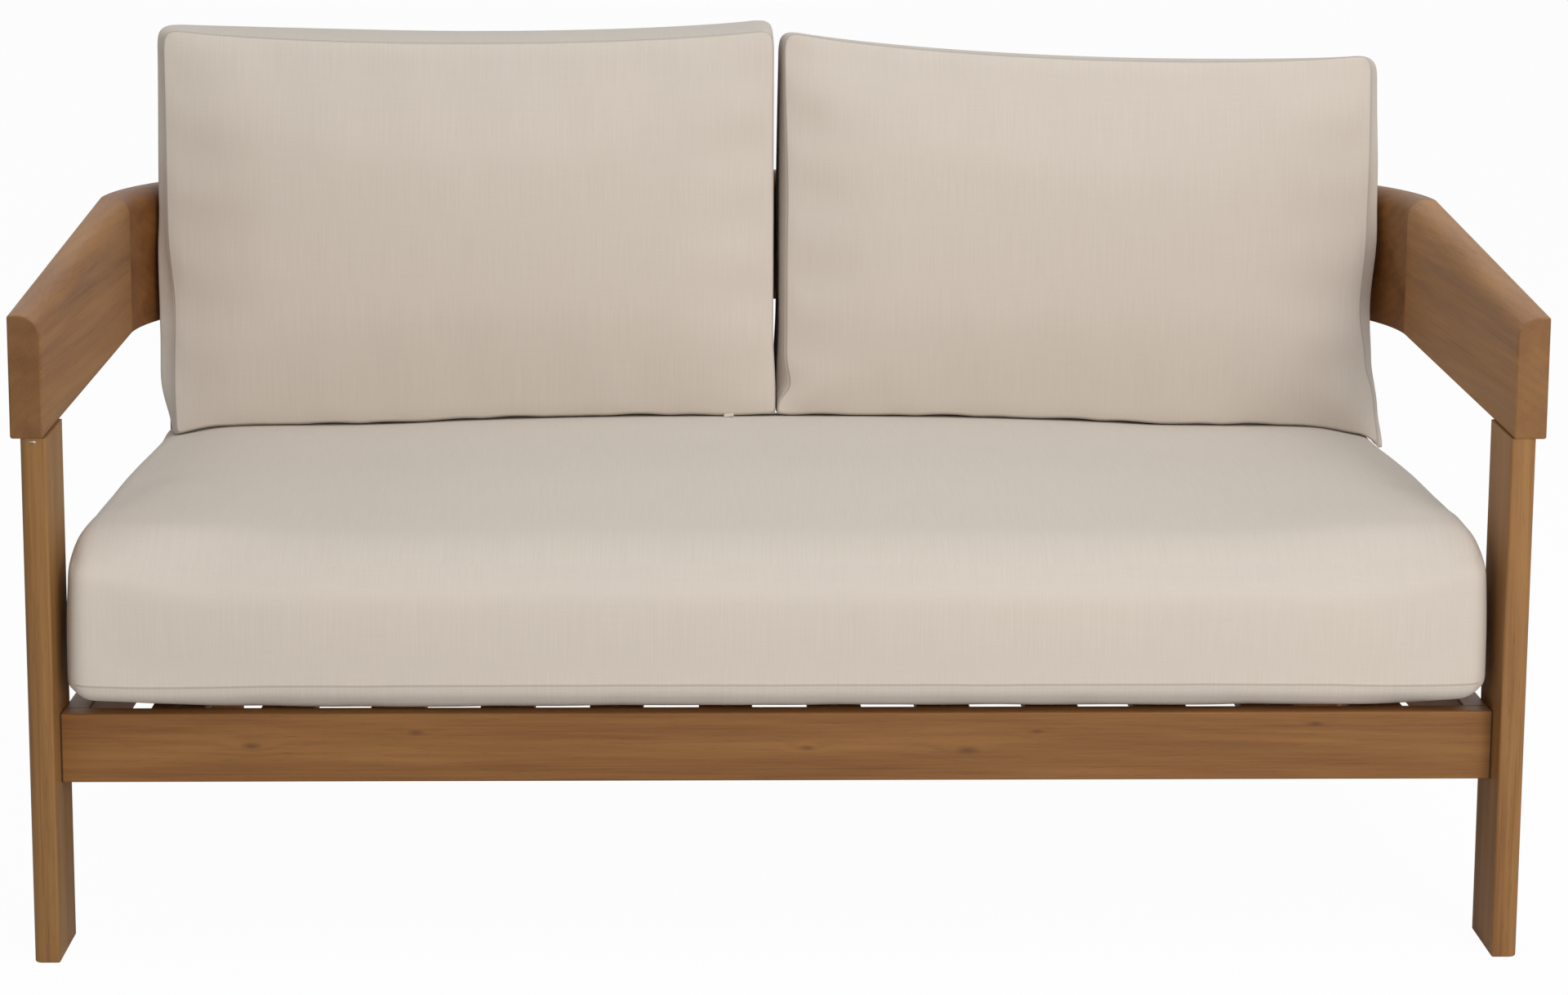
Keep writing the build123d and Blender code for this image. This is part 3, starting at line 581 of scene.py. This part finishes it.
def make_metal(name, colour, roughness):
    """Plain plated metal with faint turning marks and smudges."""
    graph = Graph(name)
    dull = tuple(0.6 * part for part in colour[:3]) + (1,)
    smudge = graph.noise(graph.place(), 240.0, 3.0)
    marks = graph.streaks(graph.place(), (300, 300, 4000), 1.0)
    graph.set(Base_Color=graph.mix(graph.spread(smudge, 0.4, 0.7, 0.0, 0.35), colour, dull))
    graph.set(Metallic=1.0)
    graph.set(Roughness=graph.spread(smudge, 0.3, 0.7, roughness, roughness + 0.15))
    graph.set(Normal=graph.bump(marks, 0.15, 0.0002))
    return graph.material


def make_grained(name, scale, dark, light, roughness, strength, distance):
    """A plain material with a fine even grain, for woven tape and for moulded plastic."""
    graph = Graph(name)
    grain = graph.noise(graph.place(), scale, 1.0)
    graph.set(Base_Color=graph.mix(graph.spread(grain, 0.3, 0.7), srgb(*dark), srgb(*light)))
    graph.set(Roughness=roughness)
    graph.set(Normal=graph.bump(grain, strength, distance))
    return graph.material


def wear(node_name, material):
    """Give a CAD node a material."""
    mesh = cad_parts[node_name].data
    mesh.materials.clear()
    mesh.materials.append(material)


def finish_woods():
    """A wood for each wooden node, in the board's own tone, with painted light and shade multiplied
    in on some boards.
    """
    front_knots = ((-0.5095, 0.206, 0.0026), (-0.351, 0.219, 0.0022), (0.0255, 0.203, 0.0020),
                   (0.1815, 0.200, 0.0032), (0.2485, 0.219, 0.0018), (0.519, 0.226, 0.0022))
    # The front rail's knots, and the x of its ends, where the painted shade of the gap beside the
    # legs lies.
    details = {"front_seat_rail": (front_knots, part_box("front_seat_rail")[1].x)}
    # Each board's colour multiplier is partly its own tone and partly painted light: the curved
    # corners are darkened as painted shade beside the pillows, the left one most, and the arms are
    # lifted lighter and greyer as painted sheen, the right arm most as painted light from the right.
    boards = {
        "arm_left": ("y", 1, (1.08, 1.16, 1.17)), "arm_right": ("y", 2, (1.27, 1.37, 1.33)),
        "curved_corner_left": ("left_corner", 3, (0.80, 0.76, 0.68)),
        "curved_corner_right": ("right_corner", 4, (0.90, 0.88, 0.80)),
        "back_rail": ("x", 5, (0.98, 1.0, 0.96)),
        "front_leg_left": ("z", 6, (1.14, 1.34, 1.36)),
        "front_leg_right": ("z", 7, (1.20, 1.36, 1.34)),
        "rear_leg_left": ("z", 8, (1.05, 1.10, 1.05)), "rear_leg_right": ("z", 9, (1.0, 1.06, 1.0)),
        "front_seat_rail": ("x", 10, (0.97, 0.98, 0.83)),
        "rear_seat_rail": ("x", 11, (1.0, 1.02, 0.94)),
        "side_seat_rail_left": ("y", 12, (1.0, 1.04, 1.0)),
        "side_seat_rail_right": ("y", 13, (1.0, 1.02, 0.96)),
        "front_slat_cleat": ("x", 14, (0.95, 0.97, 0.92)),
        "rear_slat_cleat": ("x", 15, (0.95, 0.97, 0.92)),
        "rear_corner_block_left": ("z", 16, (0.95, 0.97, 0.92)),
        "rear_corner_block_right": ("z", 17, (0.95, 0.97, 0.92)),
    }
    for name, (grain, number, tone_and_painted_light) in boards.items():
        wear(name, make_wood("acacia_" + name, grain, number, tone_and_painted_light, *details.get(name, ())))
    slats = sorted(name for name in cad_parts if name.startswith("seat_slat_"))
    for number, name in enumerate(slats):
        tone = 0.94 + 0.14 * (number * 0.618 % 1)
        wear(name, make_wood("acacia_" + name, "y", 20 + number, (tone, 1.02 * tone, 0.95 * tone)))
    beech = make_wood("dowel_beech", "z", 40, (1.6, 1.7, 1.8))
    for name in ("band_dowels", "leg_dowels", "seat_rail_dowels"):
        wear(name, beech)


def finish_metals():
    """Plated screws and bolts, and brass inserts."""
    zinc = make_metal("zinc_steel", (0.60, 0.60, 0.62, 1), 0.30)
    for name in ("slat_screws", "cleat_screws", "corner_block_screws", "frame_bolts"):
        wear(name, zinc)
    wear("arm_screws", make_metal("dark_zinc_steel", (0.30, 0.27, 0.24, 1), 0.34))
    wear("leg_inserts", make_metal("insert_brass", (0.72, 0.52, 0.24, 1), 0.28))


# Cushion covers

def lattice_shell(counts):
    """Points on the faces of a box lattice, and quads that face outward, each with its side."""
    across, deep, high = counts
    index = {}

    def point(i, j, k):
        return index.setdefault((i, j, k), len(index))

    quads = []
    for i in range(across):
        for k in range(high):
            quads.append(("front", point(i, 0, k), point(i + 1, 0, k),
                          point(i + 1, 0, k + 1), point(i, 0, k + 1)))
            quads.append(("back", point(i, deep, k), point(i, deep, k + 1),
                          point(i + 1, deep, k + 1), point(i + 1, deep, k)))
    for i in range(across):
        for j in range(deep):
            quads.append(("bottom", point(i, j, 0), point(i, j + 1, 0),
                          point(i + 1, j + 1, 0), point(i + 1, j, 0)))
            quads.append(("top", point(i, j, high), point(i + 1, j, high),
                          point(i + 1, j + 1, high), point(i, j + 1, high)))
    for j in range(deep):
        for k in range(high):
            quads.append(("low_end", point(0, j, k), point(0, j, k + 1),
                          point(0, j + 1, k + 1), point(0, j + 1, k)))
            quads.append(("high_end", point(across, j, k), point(across, j + 1, k),
                          point(across, j + 1, k + 1), point(across, j, k + 1)))
    return list(index), quads


def from_sides(value, low, high):
    """Distance in from the nearer of two sides, and that side with its sign."""
    if value - low < high - value:
        return value - low, low, 1
    return high - value, high, -1


def soft_corner(place, spans, radii):
    """Round a box's edges and corners: a point near two or three sides moves in from them."""
    sides = [from_sides(value, *span) for value, span in zip(place, spans)]
    outs = [max(0.0, 1 - distance / radius)
            for (distance, _, _), radius in zip(sides, radii)]
    length = math.sqrt(sum(out * out for out in outs))
    if length == 0:
        return place
    pull = max(outs) / length
    return [side + sign * (radius * (1 - out * pull) if out > 0 else distance)
            for (distance, side, sign), radius, out in zip(sides, radii, outs)]


def mark_seams(mesh, at_corner):
    """Crease the edges that lie along a seam, and more firmly those along a strip's corner."""
    seam = mesh.attributes["seam"].data
    crease = mesh.attributes.new("crease_edge", "FLOAT", "EDGE").data
    for edge in mesh.edges:
        if max(seam[index].value for index in edge.vertices) < seam_width / 2:
            crease[edge.index].value = seam_crease
        elif all(at_corner[index] for index in edge.vertices):
            crease[edge.index].value = corner_crease


def weave_place(side, place, top_shift):
    """Where a point lies on its side's flat cloth."""
    x, y, z = place
    if side in ("front", "back"):
        return (x, z, 0)
    if side in ("top", "bottom"):
        return (x, y + top_shift, 0)
    return (y, z, 0)


def make_cover(name, counts, form, seam_of, top_shift, creased):
    """A closed cover over a box lattice, with its weave coordinates and seam distances."""
    points, quads = lattice_shell(counts)
    places = [form(*[n / count for n, count in zip(point, counts)]) for point in points]
    mesh = bpy.data.meshes.new(name)
    mesh.from_pydata(places, [], [quad[1:] for quad in quads])
    seam = mesh.attributes.new("seam", "FLOAT", "POINT")
    for number, point in enumerate(points):
        seam.data[number].value = seam_of(*point)
    weave = mesh.attributes.new("weave", "FLOAT_VECTOR", "CORNER")
    corner = 0
    for side, *indices in quads:
        for index in indices:
            weave.data[corner].vector = weave_place(side, places[index], top_shift)
            corner += 1
    mesh.polygons.foreach_set("use_smooth", [True] * len(mesh.polygons))
    if creased:
        mark_seams(mesh, [i in (0, counts[0]) and k == 0 for i, _, k in points])
    cover = bpy.data.objects.new(name, mesh)
    bpy.context.scene.collection.objects.link(cover)
    return cover


def swell(cover, cap, slack, held):
    """Fill a cover: cloth under pressure, held softly at its seams, then kept as it is."""
    starts = [vertex.co.copy() for vertex in cover.data.vertices]
    group = cover.vertex_groups.new(name="held")
    for vertex in cover.data.vertices:
        weight = held(vertex)
        if weight > 0:
            group.add([vertex.index], weight, "REPLACE")
    cloth = cover.modifiers.new("filling", "CLOTH")
    settings = cloth.settings
    settings.quality = 6
    settings.mass = 0.3
    settings.tension_stiffness = 30
    settings.compression_stiffness = 20
    settings.shear_stiffness = 10
    settings.bending_stiffness = 1.0
    settings.use_pressure = True
    settings.uniform_pressure_force = swell_pressure
    settings.shrink_min = -slack
    settings.vertex_group_mass = "held"
    settings.pin_stiffness = 1.0
    settings.effector_weights.gravity = 0
    cloth.point_cache.frame_end = swell_frames
    scene = bpy.context.scene
    for number in range(1, swell_frames + 1):
        scene.frame_set(number)
    filled = cover.evaluated_get(bpy.context.evaluated_depsgraph_get())
    ends = [vertex.co.copy() for vertex in filled.data.vertices]
    cover.modifiers.remove(cloth)
    cover.vertex_groups.remove(group)
    scene.frame_set(1)
    moves = [end - start for start, end in zip(starts, ends)]
    moves = [move if move.length < cap else move.normalized() * cap for move in moves]
    for vertex, start, move in zip(cover.data.vertices, starts, evened(cover.data, moves)):
        vertex.co = start + move


def evened(mesh, moves):
    """Moves of a mesh's points, shared with their neighbours so that small dents go."""
    for _ in range(even_rounds):
        sums = [move.copy() for move in moves]
        counts = [1] * len(moves)
        for edge in mesh.edges:
            a, b = edge.vertices
            sums[a] += moves[b]
            sums[b] += moves[a]
            counts[a] += 1
            counts[b] += 1
        moves = [total / count for total, count in zip(sums, counts)]
    return moves


def refine(cover):
    """Add one subdivision and keep it."""
    modifier = cover.modifiers.new("finer", "SUBSURF")
    modifier.levels = 1
    finer = cover.evaluated_get(bpy.context.evaluated_depsgraph_get())
    mesh = bpy.data.meshes.new_from_object(finer)
    cover.modifiers.remove(modifier)
    cover.data = mesh


# Seat cushion

seat_front_y = seat_low.y + 0.004
seat_span_x = (seat_low.x - 0.002, seat_high.x + 0.002)
seat_span_y = (seat_front_y, seat_high.y)
seat_base = slat_top + 0.001


def seat_radii(x, y, z):
    """How far the seat's rounding reaches along X, Y and Z at a place."""
    front = 1 - ramp(y - seat_span_y[0], *seat_front_zone)
    at_end = 1 - ramp(seat_span_x[1] - abs(x), 0, seat_end_zone)
    front_y, front_z = [mixed(middle, end, at_end)
                        for middle, end in zip(seat_front_round, seat_front_round_at_end)]
    from_base = z - seat_base
    reach_x = mixed(seat_foot_round[0], seat_end_round[0], smooth_step(from_base / seat_side_height))
    if from_base < seat_side_height / 2:
        from_edge, reach_y = from_base, seat_curl[0]
        reach_z = mixed(seat_foot_round[1], seat_curl[1], front)
    else:
        from_edge, reach_y = seat_side_height - from_base, front_y
        reach_z = mixed(seat_end_round[1], front_z, front)
    into_edge = smooth_step(seat_edge_gain * (1 - from_edge / reach_z))
    reach_y = mixed(seat_upright_round, reach_y, into_edge)
    if y > (seat_span_y[0] + seat_span_y[1]) / 2:
        reach_y = seat_rear_round
    return reach_x, reach_y, reach_z


def seat_lift(share, depth):
    """How far the top rises at a share of the half length and of the depth."""
    rear = mixed(1.0, seat_rear_share, ramp(depth, *seat_rear_ramp))
    crown = seat_crown * (1 - share ** seat_crown_power) * (ramp(depth, *seat_crown_ramp) * rear)
    hump = ramp(depth, *seat_hump_ramp) * (1 - ramp(depth, *seat_hump_fall))
    puff = seat_end_puff * ramp(depth, *seat_puff_ramp) + seat_end_hump * hump
    return crown + puff * ramp(share, *seat_puff_start)


def seat_form(p, q, r):
    """Place of a lattice point on the seat cushion, before it is filled."""
    inset = seat_start_inset
    spans = ((seat_span_x[0] + inset, seat_span_x[1] - inset),
             (seat_span_y[0] + inset, seat_span_y[1] - inset),
             (seat_base, seat_base + seat_side_height - inset))
    place = [mixed(*span, share) for span, share in zip(spans, (p, q, r))]
    x, y, z = soft_corner(place, spans, seat_radii(*place))
    depth = (y - seat_span_y[0]) / (seat_span_y[1] - seat_span_y[0])
    z += seat_lift(abs(x) / seat_span_x[1], depth) * (z - seat_base) / seat_side_height
    face = 1 - ramp(depth, 0, seat_bulge_depth)
    y -= seat_front_bulge * math.sin(math.pi * min(1.0, r)) * face
    return x, y, z


def make_seat():
    """The seat cushion's cover, boxed at its ends and sewn near its foot."""
    size_x = seat_span_x[1] - seat_span_x[0]
    size_y = seat_span_y[1] - seat_span_y[0]
    counts = (round(size_x / cloth_step), round(size_y / cloth_step), seat_rows)
    steps = (size_x / counts[0], size_y / counts[1], seat_side_height / counts[2])
    foot_row = round(seat_seam_inset / steps[2])

    def seam_of(i, j, k):
        """Distance of a lattice point from the nearest seam."""
        if i in (0, counts[0]):
            edge = min(min(j, counts[1] - j) * steps[1], min(k, counts[2] - k) * steps[2])
            return abs(edge - foot_row * steps[2])
        from_end = (min(i, counts[0] - i) + foot_row) * steps[2]
        if j in (0, counts[1]):
            return min(from_end, abs(k - foot_row) * steps[2])
        return from_end

    cover = make_cover("seat_cushion", counts, seat_form, seam_of, seat_side_height, creased=False)
    swell(cover, seat_swell_cap, seat_slack, lambda vertex: seat_hold(cover, vertex))
    keep_seat_clear(cover)
    refine(cover)
    cover.data.materials.append(make_linen("linen_seat", 1))
    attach(cover, "seat_cushion")
    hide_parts("seat_cushion_cover", "seat_cushion_foam")
    return cover


def seat_hold(cover, vertex):
    """How firmly a point of the seat cover is held: fully where it lies on the slats."""
    if vertex.co.z < seat_base + seat_floor_reach:
        return 1.0
    seam = cover.data.attributes["seam"].data[vertex.index].value
    return seat_seam_hold if seam < seam_hold_reach else 0.0


def keep_seat_clear(cover):
    """Keep the seat cover on the slats and between the legs."""
    leg_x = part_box("front_leg_right")[0].x - seat_leg_gap
    for vertex in cover.data.vertices:
        vertex.co.x = min(leg_x, max(-leg_x, vertex.co.x))
        vertex.co.y = min(vertex.co.y, seat_high.y)
        vertex.co.z = max(vertex.co.z, slat_top + seat_slat_gap)


# Back pillows

def pillow_back_room(u):
    """How far back a pillow may reach at a distance from the middle."""
    into_corner = min(max(0.0, u - corner_centre.x), corner_inner_radius)
    return corner_centre.y + math.sqrt(corner_inner_radius ** 2 - into_corner ** 2)


def seat_height(seat_tree, x, y):
    """Height of the seat cushion's top at a place, or 0 beside it."""
    hit = seat_tree.ray_cast(Vector((x, y, 1.0)), Vector((0, 0, -1)))[0]
    return hit.z if hit is not None else 0.0


def tucks(u, r, share, side):
    """Shallow folds that run in from a pillow's seams, strongest near its corners."""
    from_end = min(share, 1 - share) * pillow_panel[0]
    from_edge = min(r, 1 - r) * pillow_panel[1]
    end_reach, edge_reach = pillow_tuck_reach
    end_turns, edge_turns = pillow_tuck_turns
    beside_end = from_end / end_reach * math.exp(1 - from_end / end_reach)
    beside_edge = from_edge / edge_reach * math.exp(1 - from_edge / edge_reach)
    end_wave = math.sin(pillow_panel[1] * r * end_turns + 2.1 * side)
    end_wave *= mixed(0.4, 1, abs(2 * r - 1))
    edge_wave = math.sin(u * edge_turns + 1.3 * side) * mixed(0.25, 1, abs(2 * share - 1) ** 2)
    return pillow_tuck * (beside_end * end_wave + 0.8 * beside_edge * edge_wave)


def pillow_edges(shape, place, share, q, r):
    """Move a place on the pillow's outline by its seams, its strip's bulge and its sag."""
    u, z = place
    across = 4 * share * (1 - share)
    strip = math.sin(math.pi * q)
    outer = ramp(share, *pillow_outer_ramp)
    inner = ramp(pillow_inner_share - share, 0, pillow_inner_share)
    u += outer * (along(shape["seam_line"], r) + strip * along(shape["bulge_line"], r))
    u += inner * (along(shape["inner_line"], r) * (1 - q) ** 12 - pillow_inner_bulge * strip)
    sag = shape["sag"] * across ** 0.7 + shape["back_drop"] * q - pillow_top_bulge * strip
    z -= ramp(r, 0.5, 0.5) * sag
    return u, z


def pillow_depth(u, z, share, q, r, side):
    """Y of a place on the pillow, between its crowned face and the band behind it."""
    lean = (z - rail_high.z) * math.tan(pillow_lean)
    front = pillow_face_y + lean
    back = min(pillow_back_room(u), rail_low.y) - pillow_back_gap
    back += lean * pillow_back_lean_share
    if z < rail_low.z:
        back += pillow_rear_bulge * math.sin(math.pi * r)
    across = 4 * share * (1 - share)
    upright = 4 * r * (1 - r)
    crown = (across * upright) ** 0.5
    ripple = math.sin(11 * u + 3 * z + side) * math.sin(9 * z + 2 * side)
    y = mixed(front, back, q)
    y -= (pillow_crown * crown + pillow_ripple * ripple * across * upright) * (1 - q)
    return y + tucks(u, r, share, side) * (1 - q)


def pillow_form(shape, side, seat_tree):
    """A function that places a lattice point on a pillow, before it is filled."""
    inner_low, outer_low, outer_high, inner_high = [Vector(corner) for corner in shape["corners"]]
    width = outer_low.x - inner_low.x
    height = inner_high.y - inner_low.y

    def form(p, q, r):
        share = p if side > 0 else 1 - p
        radius = pillow_low_corner_radius if r < 0.5 else pillow_corner_radius
        share, _, r = soft_corner((share, 0.5, r), ((0, 1), (-9, 10), (0, 1)),
                                  (radius / width, 1, radius / height))
        low = inner_low.lerp(outer_low, share)
        outline = low.lerp(inner_high.lerp(outer_high, share), r)
        u, z = pillow_edges(shape, outline, share, q, r)
        y = pillow_depth(u, z, share, q, r, side)
        fine, broad = pillow_fold_turns
        fold = pillow_fold * math.sin(fine * u + 2 * side) * math.sin(broad * u + side)
        rest = seat_height(seat_tree, side * u, y) + pillow_clearance + abs(fold)
        rest = max(rest, low.y - pillow_edge_rise)
        z += (rest - low.y) * (1 - ramp(r, 0, pillow_rest_share))
        return side * u, y, z

    return form


def make_pillow(name, shape, side, number, seat_tree):
    """One back pillow: front and back panels with a boxing strip between two seams."""
    corners = shape["corners"]
    width = corners[1][0] - corners[0][0]
    height = corners[3][1] - corners[0][1]
    counts = (round(width / cloth_step), pillow_rows_deep, round(height / cloth_step))
    steps = (width / counts[0], pillow_thickness / counts[1], height / counts[2])

    def seam_of(i, j, k):
        """Distance of a lattice point from the nearest seam."""
        on_boxing = i in (0, counts[0]) or k in (0, counts[2])
        if on_boxing:
            return min(j, counts[1] - j) * steps[1]
        return min(min(i, counts[0] - i) * steps[0], min(k, counts[2] - k) * steps[2])

    form = pillow_form(shape, side, seat_tree)
    cover = make_cover(name, counts, form, seam_of, 0, creased=True)
    swell(cover, pillow_swell_cap, pillow_slack, lambda vertex: pillow_hold(cover, vertex))
    keep_pillow_clear(cover, side, seat_tree)
    refine(cover)
    keep_pillow_clear(cover, side, seat_tree)
    cover.data.materials.append(make_linen("linen_" + name, number))
    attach(cover, name)
    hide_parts(name + "_cover", name + "_fill")
    return cover


def pillow_hold(cover, vertex):
    """The boxing strip holds its form, and seams hold a pillow's cover softly."""
    if max(abs(vertex.normal.x), abs(vertex.normal.z)) > pillow_strip_facing:
        return pillow_strip_hold
    seam = cover.data.attributes["seam"].data[vertex.index].value
    return pillow_seam_hold if seam < seam_hold_reach else 0.0


def keep_pillow_clear(cover, side, seat_tree):
    """Keep a pillow on top of the seat cushion and inside the band."""
    rail_y = rail_low.y - pillow_clearance
    radius = corner_inner_radius - pillow_clearance
    arm_x = corner_centre.x + radius
    for vertex in cover.data.vertices:
        place = vertex.co
        place.z = max(place.z, seat_height(seat_tree, place.x, place.y) + pillow_clearance)
        below = rail_low.z - rail_reach[0] - place.z
        above = place.z - rail_high.z - rail_reach[1]
        room = radius + pillow_overhang * ramp(max(below, above, 0), 0, pillow_overhang_reach)
        place.y = min(place.y, rail_y + room - radius)
        flat = Vector((abs(place.x), place.y)) - corner_centre
        if flat.x > 0 and flat.y > 0 and flat.length > room:
            flat = flat.normalized() * room + corner_centre
            place.x = side * flat.x
            place.y = flat.y
        half_gap = mixed(gap_half_low, gap_half_high, ramp(place.z, *gap_ramp))
        if side > 0:
            place.x = min(max(place.x, gap_middle + half_gap), arm_x)
        else:
            place.x = max(min(place.x, gap_middle - half_gap), -arm_x)
    cover.data.update()


def surface_tree(piece):
    """A tree for finding points on a piece's surface."""
    mesh = piece.data
    return BVHTree.FromPolygons([vertex.co for vertex in mesh.vertices],
                                [list(face.vertices) for face in mesh.polygons])


# Zips

class Build:
    """Points and faces of one mesh, with the material slot of each face."""

    def __init__(self):
        self.points = []
        self.faces = []
        self.slots = []

    def add(self, points, faces, slot):
        """Add points, and faces given by their numbers among these points."""
        first = len(self.points)
        self.points += [tuple(point) for point in points]
        self.faces += [tuple(first + index for index in face) for face in faces]
        self.slots += [slot] * len(faces)

    def block(self, centre, ways, size, slot):
        """A block that stands on its base's centre and narrows above six tenths of its height."""
        along_way, across_way, up_way = ways
        length, width, height, taper = size
        points = []
        for level, share in ((0, 1), (0.6, 1), (1, taper)):
            for a, b in ((-1, -1), (1, -1), (1, 1), (-1, 1)):
                points.append(centre + along_way * (a * share * length / 2)
                              + across_way * (b * share * width / 2)
                              + up_way * (level * height))
        faces = [(3, 2, 1, 0), (8, 9, 10, 11)]
        for low in (0, 4):
            faces += [(low + n, low + (n + 1) % 4, low + 4 + (n + 1) % 4, low + 4 + n)
                      for n in range(4)]
        self.add(points, faces, slot)

    def piece(self, name, materials):
        """The finished object, with its faces turned outward."""
        mesh = bpy.data.meshes.new(name)
        mesh.from_pydata(self.points, [], self.faces)
        for face, slot in zip(mesh.polygons, self.slots):
            face.material_index = slot
        for material in materials:
            mesh.materials.append(material)
        work = bmesh.new()
        work.from_mesh(mesh)
        bmesh.ops.recalc_face_normals(work, faces=work.faces)
        work.to_mesh(mesh)
        work.free()
        piece = bpy.data.objects.new(name, mesh)
        bpy.context.scene.collection.objects.link(piece)
        return piece


def add_zip_tape(parts, on_cover, up_way, low_x, high_x):
    """The tape, as a thin closed strip that follows the cover."""
    profile = ((-zip_tape_half, 0.0), (-zip_tape_half, zip_tape_lift),
               (-zip_track_half, zip_track_lift), (zip_track_half, zip_track_lift),
               (zip_tape_half, zip_tape_lift), (zip_tape_half, 0.0))
    count = round((high_x - low_x) / zip_step)
    rows = []
    for n in range(count + 1):
        x = mixed(low_x, high_x, n / count)
        rows += [on_cover(x, across) + up_way * lift for across, lift in profile]
    sides = len(profile)
    faces = [tuple(range(sides)), tuple(range(count * sides, (count + 1) * sides))]
    for n in range(count):
        for k in range(sides):
            faces.append((n * sides + k, n * sides + (k + 1) % sides,
                          (n + 1) * sides + (k + 1) % sides, (n + 1) * sides + k))
    parts.add(rows, faces, 0)


def make_zip(name, body, cover, centre, up_way, materials):
    """A zip on a cushion: tape, teeth that mesh from both sides, slider, bridge and pull."""
    low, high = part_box(name)
    tree = surface_tree(cover)
    along_way = Vector((1, 0, 0))
    across_way = up_way.cross(along_way)
    ways = (along_way, across_way, up_way)
    parts = Build()

    def on_cover(x, across):
        """The cover's surface at a distance to the side of the zip's middle line."""
        start = Vector((x, centre.y, centre.z)) + across_way * across + up_way * probe_height
        hit = tree.ray_cast(start, -up_way)[0]
        return hit if hit is not None else start - up_way * probe_height

    add_zip_tape(parts, on_cover, up_way, low.x, high.x)
    teeth = round((high.x - low.x) / zip_tooth_pitch)
    for n in range(1, teeth):
        shift = zip_tooth_shift if n % 2 else -zip_tooth_shift
        place = on_cover(mixed(low.x, high.x, n / teeth), shift) + up_way * zip_tooth_base
        parts.block(place, ways, zip_tooth_size, 1)
    place = on_cover(high.x - zip_slider_inset, 0) + up_way * zip_tooth_base
    parts.block(place, ways, zip_slider_size, 2)
    parts.block(place + up_way * zip_bridge_lift, ways, zip_bridge_size, 2)
    place = place - along_way * zip_pull_shift + up_way * zip_pull_lift
    parts.block(place, ways, zip_pull_size, 2)
    piece = parts.piece(name + "_detail", materials)
    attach(piece, body)
    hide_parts(name)


def make_zip_end(seat_tree, materials):
    """The light end of the left pillow's zip tape, folded out under its front seam."""
    y = pillow_face_y + (rest_height - rail_high.z) * math.tan(pillow_lean) - zip_end_out
    z = seat_height(seat_tree, zip_end_x, y) + zip_end_lift
    parts = Build()
    ways = (Vector((1, 0, 0.06)).normalized(), Vector((0, 1, 0)), Vector((0, 0, 1)))
    parts.block(Vector((zip_end_x, y, z)), ways, zip_end_size, 0)
    piece = parts.piece("left_pillow_zip_end", materials)
    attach(piece, "left_pillow")


def make_zips(seat, left, right, seat_tree):
    """All three zips and the loose zip end."""
    tape = make_grained("zip_tape", 900.0, (190, 178, 164), (214, 204, 192), 0.85, 0.3, 0.0003)
    teeth = make_grained("zip_teeth", 1500.0, (196, 186, 172), (212, 204, 192), 0.42, 0.1, 0.0001)
    materials = [tape, teeth, make_metal("zip_slider", (0.62, 0.61, 0.60, 1), 0.32)]
    seat_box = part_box("seat_cushion_zip")
    make_zip("seat_cushion_zip", "seat_cushion", seat, (seat_box[0] + seat_box[1]) / 2,
             Vector((0, 1, 0)), materials)
    for name, cover in (("left_pillow", left), ("right_pillow", right)):
        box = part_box(name + "_zip")
        make_zip(name + "_zip", name, cover, (box[0] + box[1]) / 2, Vector((0, 0, -1)), materials)
    make_zip_end(seat_tree, [tape])


make_camera()
make_world()
make_lamps()
make_floor()
finish_woods()
finish_metals()
seat = make_seat()
seat_surface = surface_tree(seat)
left = make_pillow("left_pillow", left_pillow, -1, 2, seat_surface)
right = make_pillow("right_pillow", right_pillow, 1, 3, seat_surface)
make_zips(seat, left, right, seat_surface)

bpy.context.scene.view_settings.view_transform = "Standard"
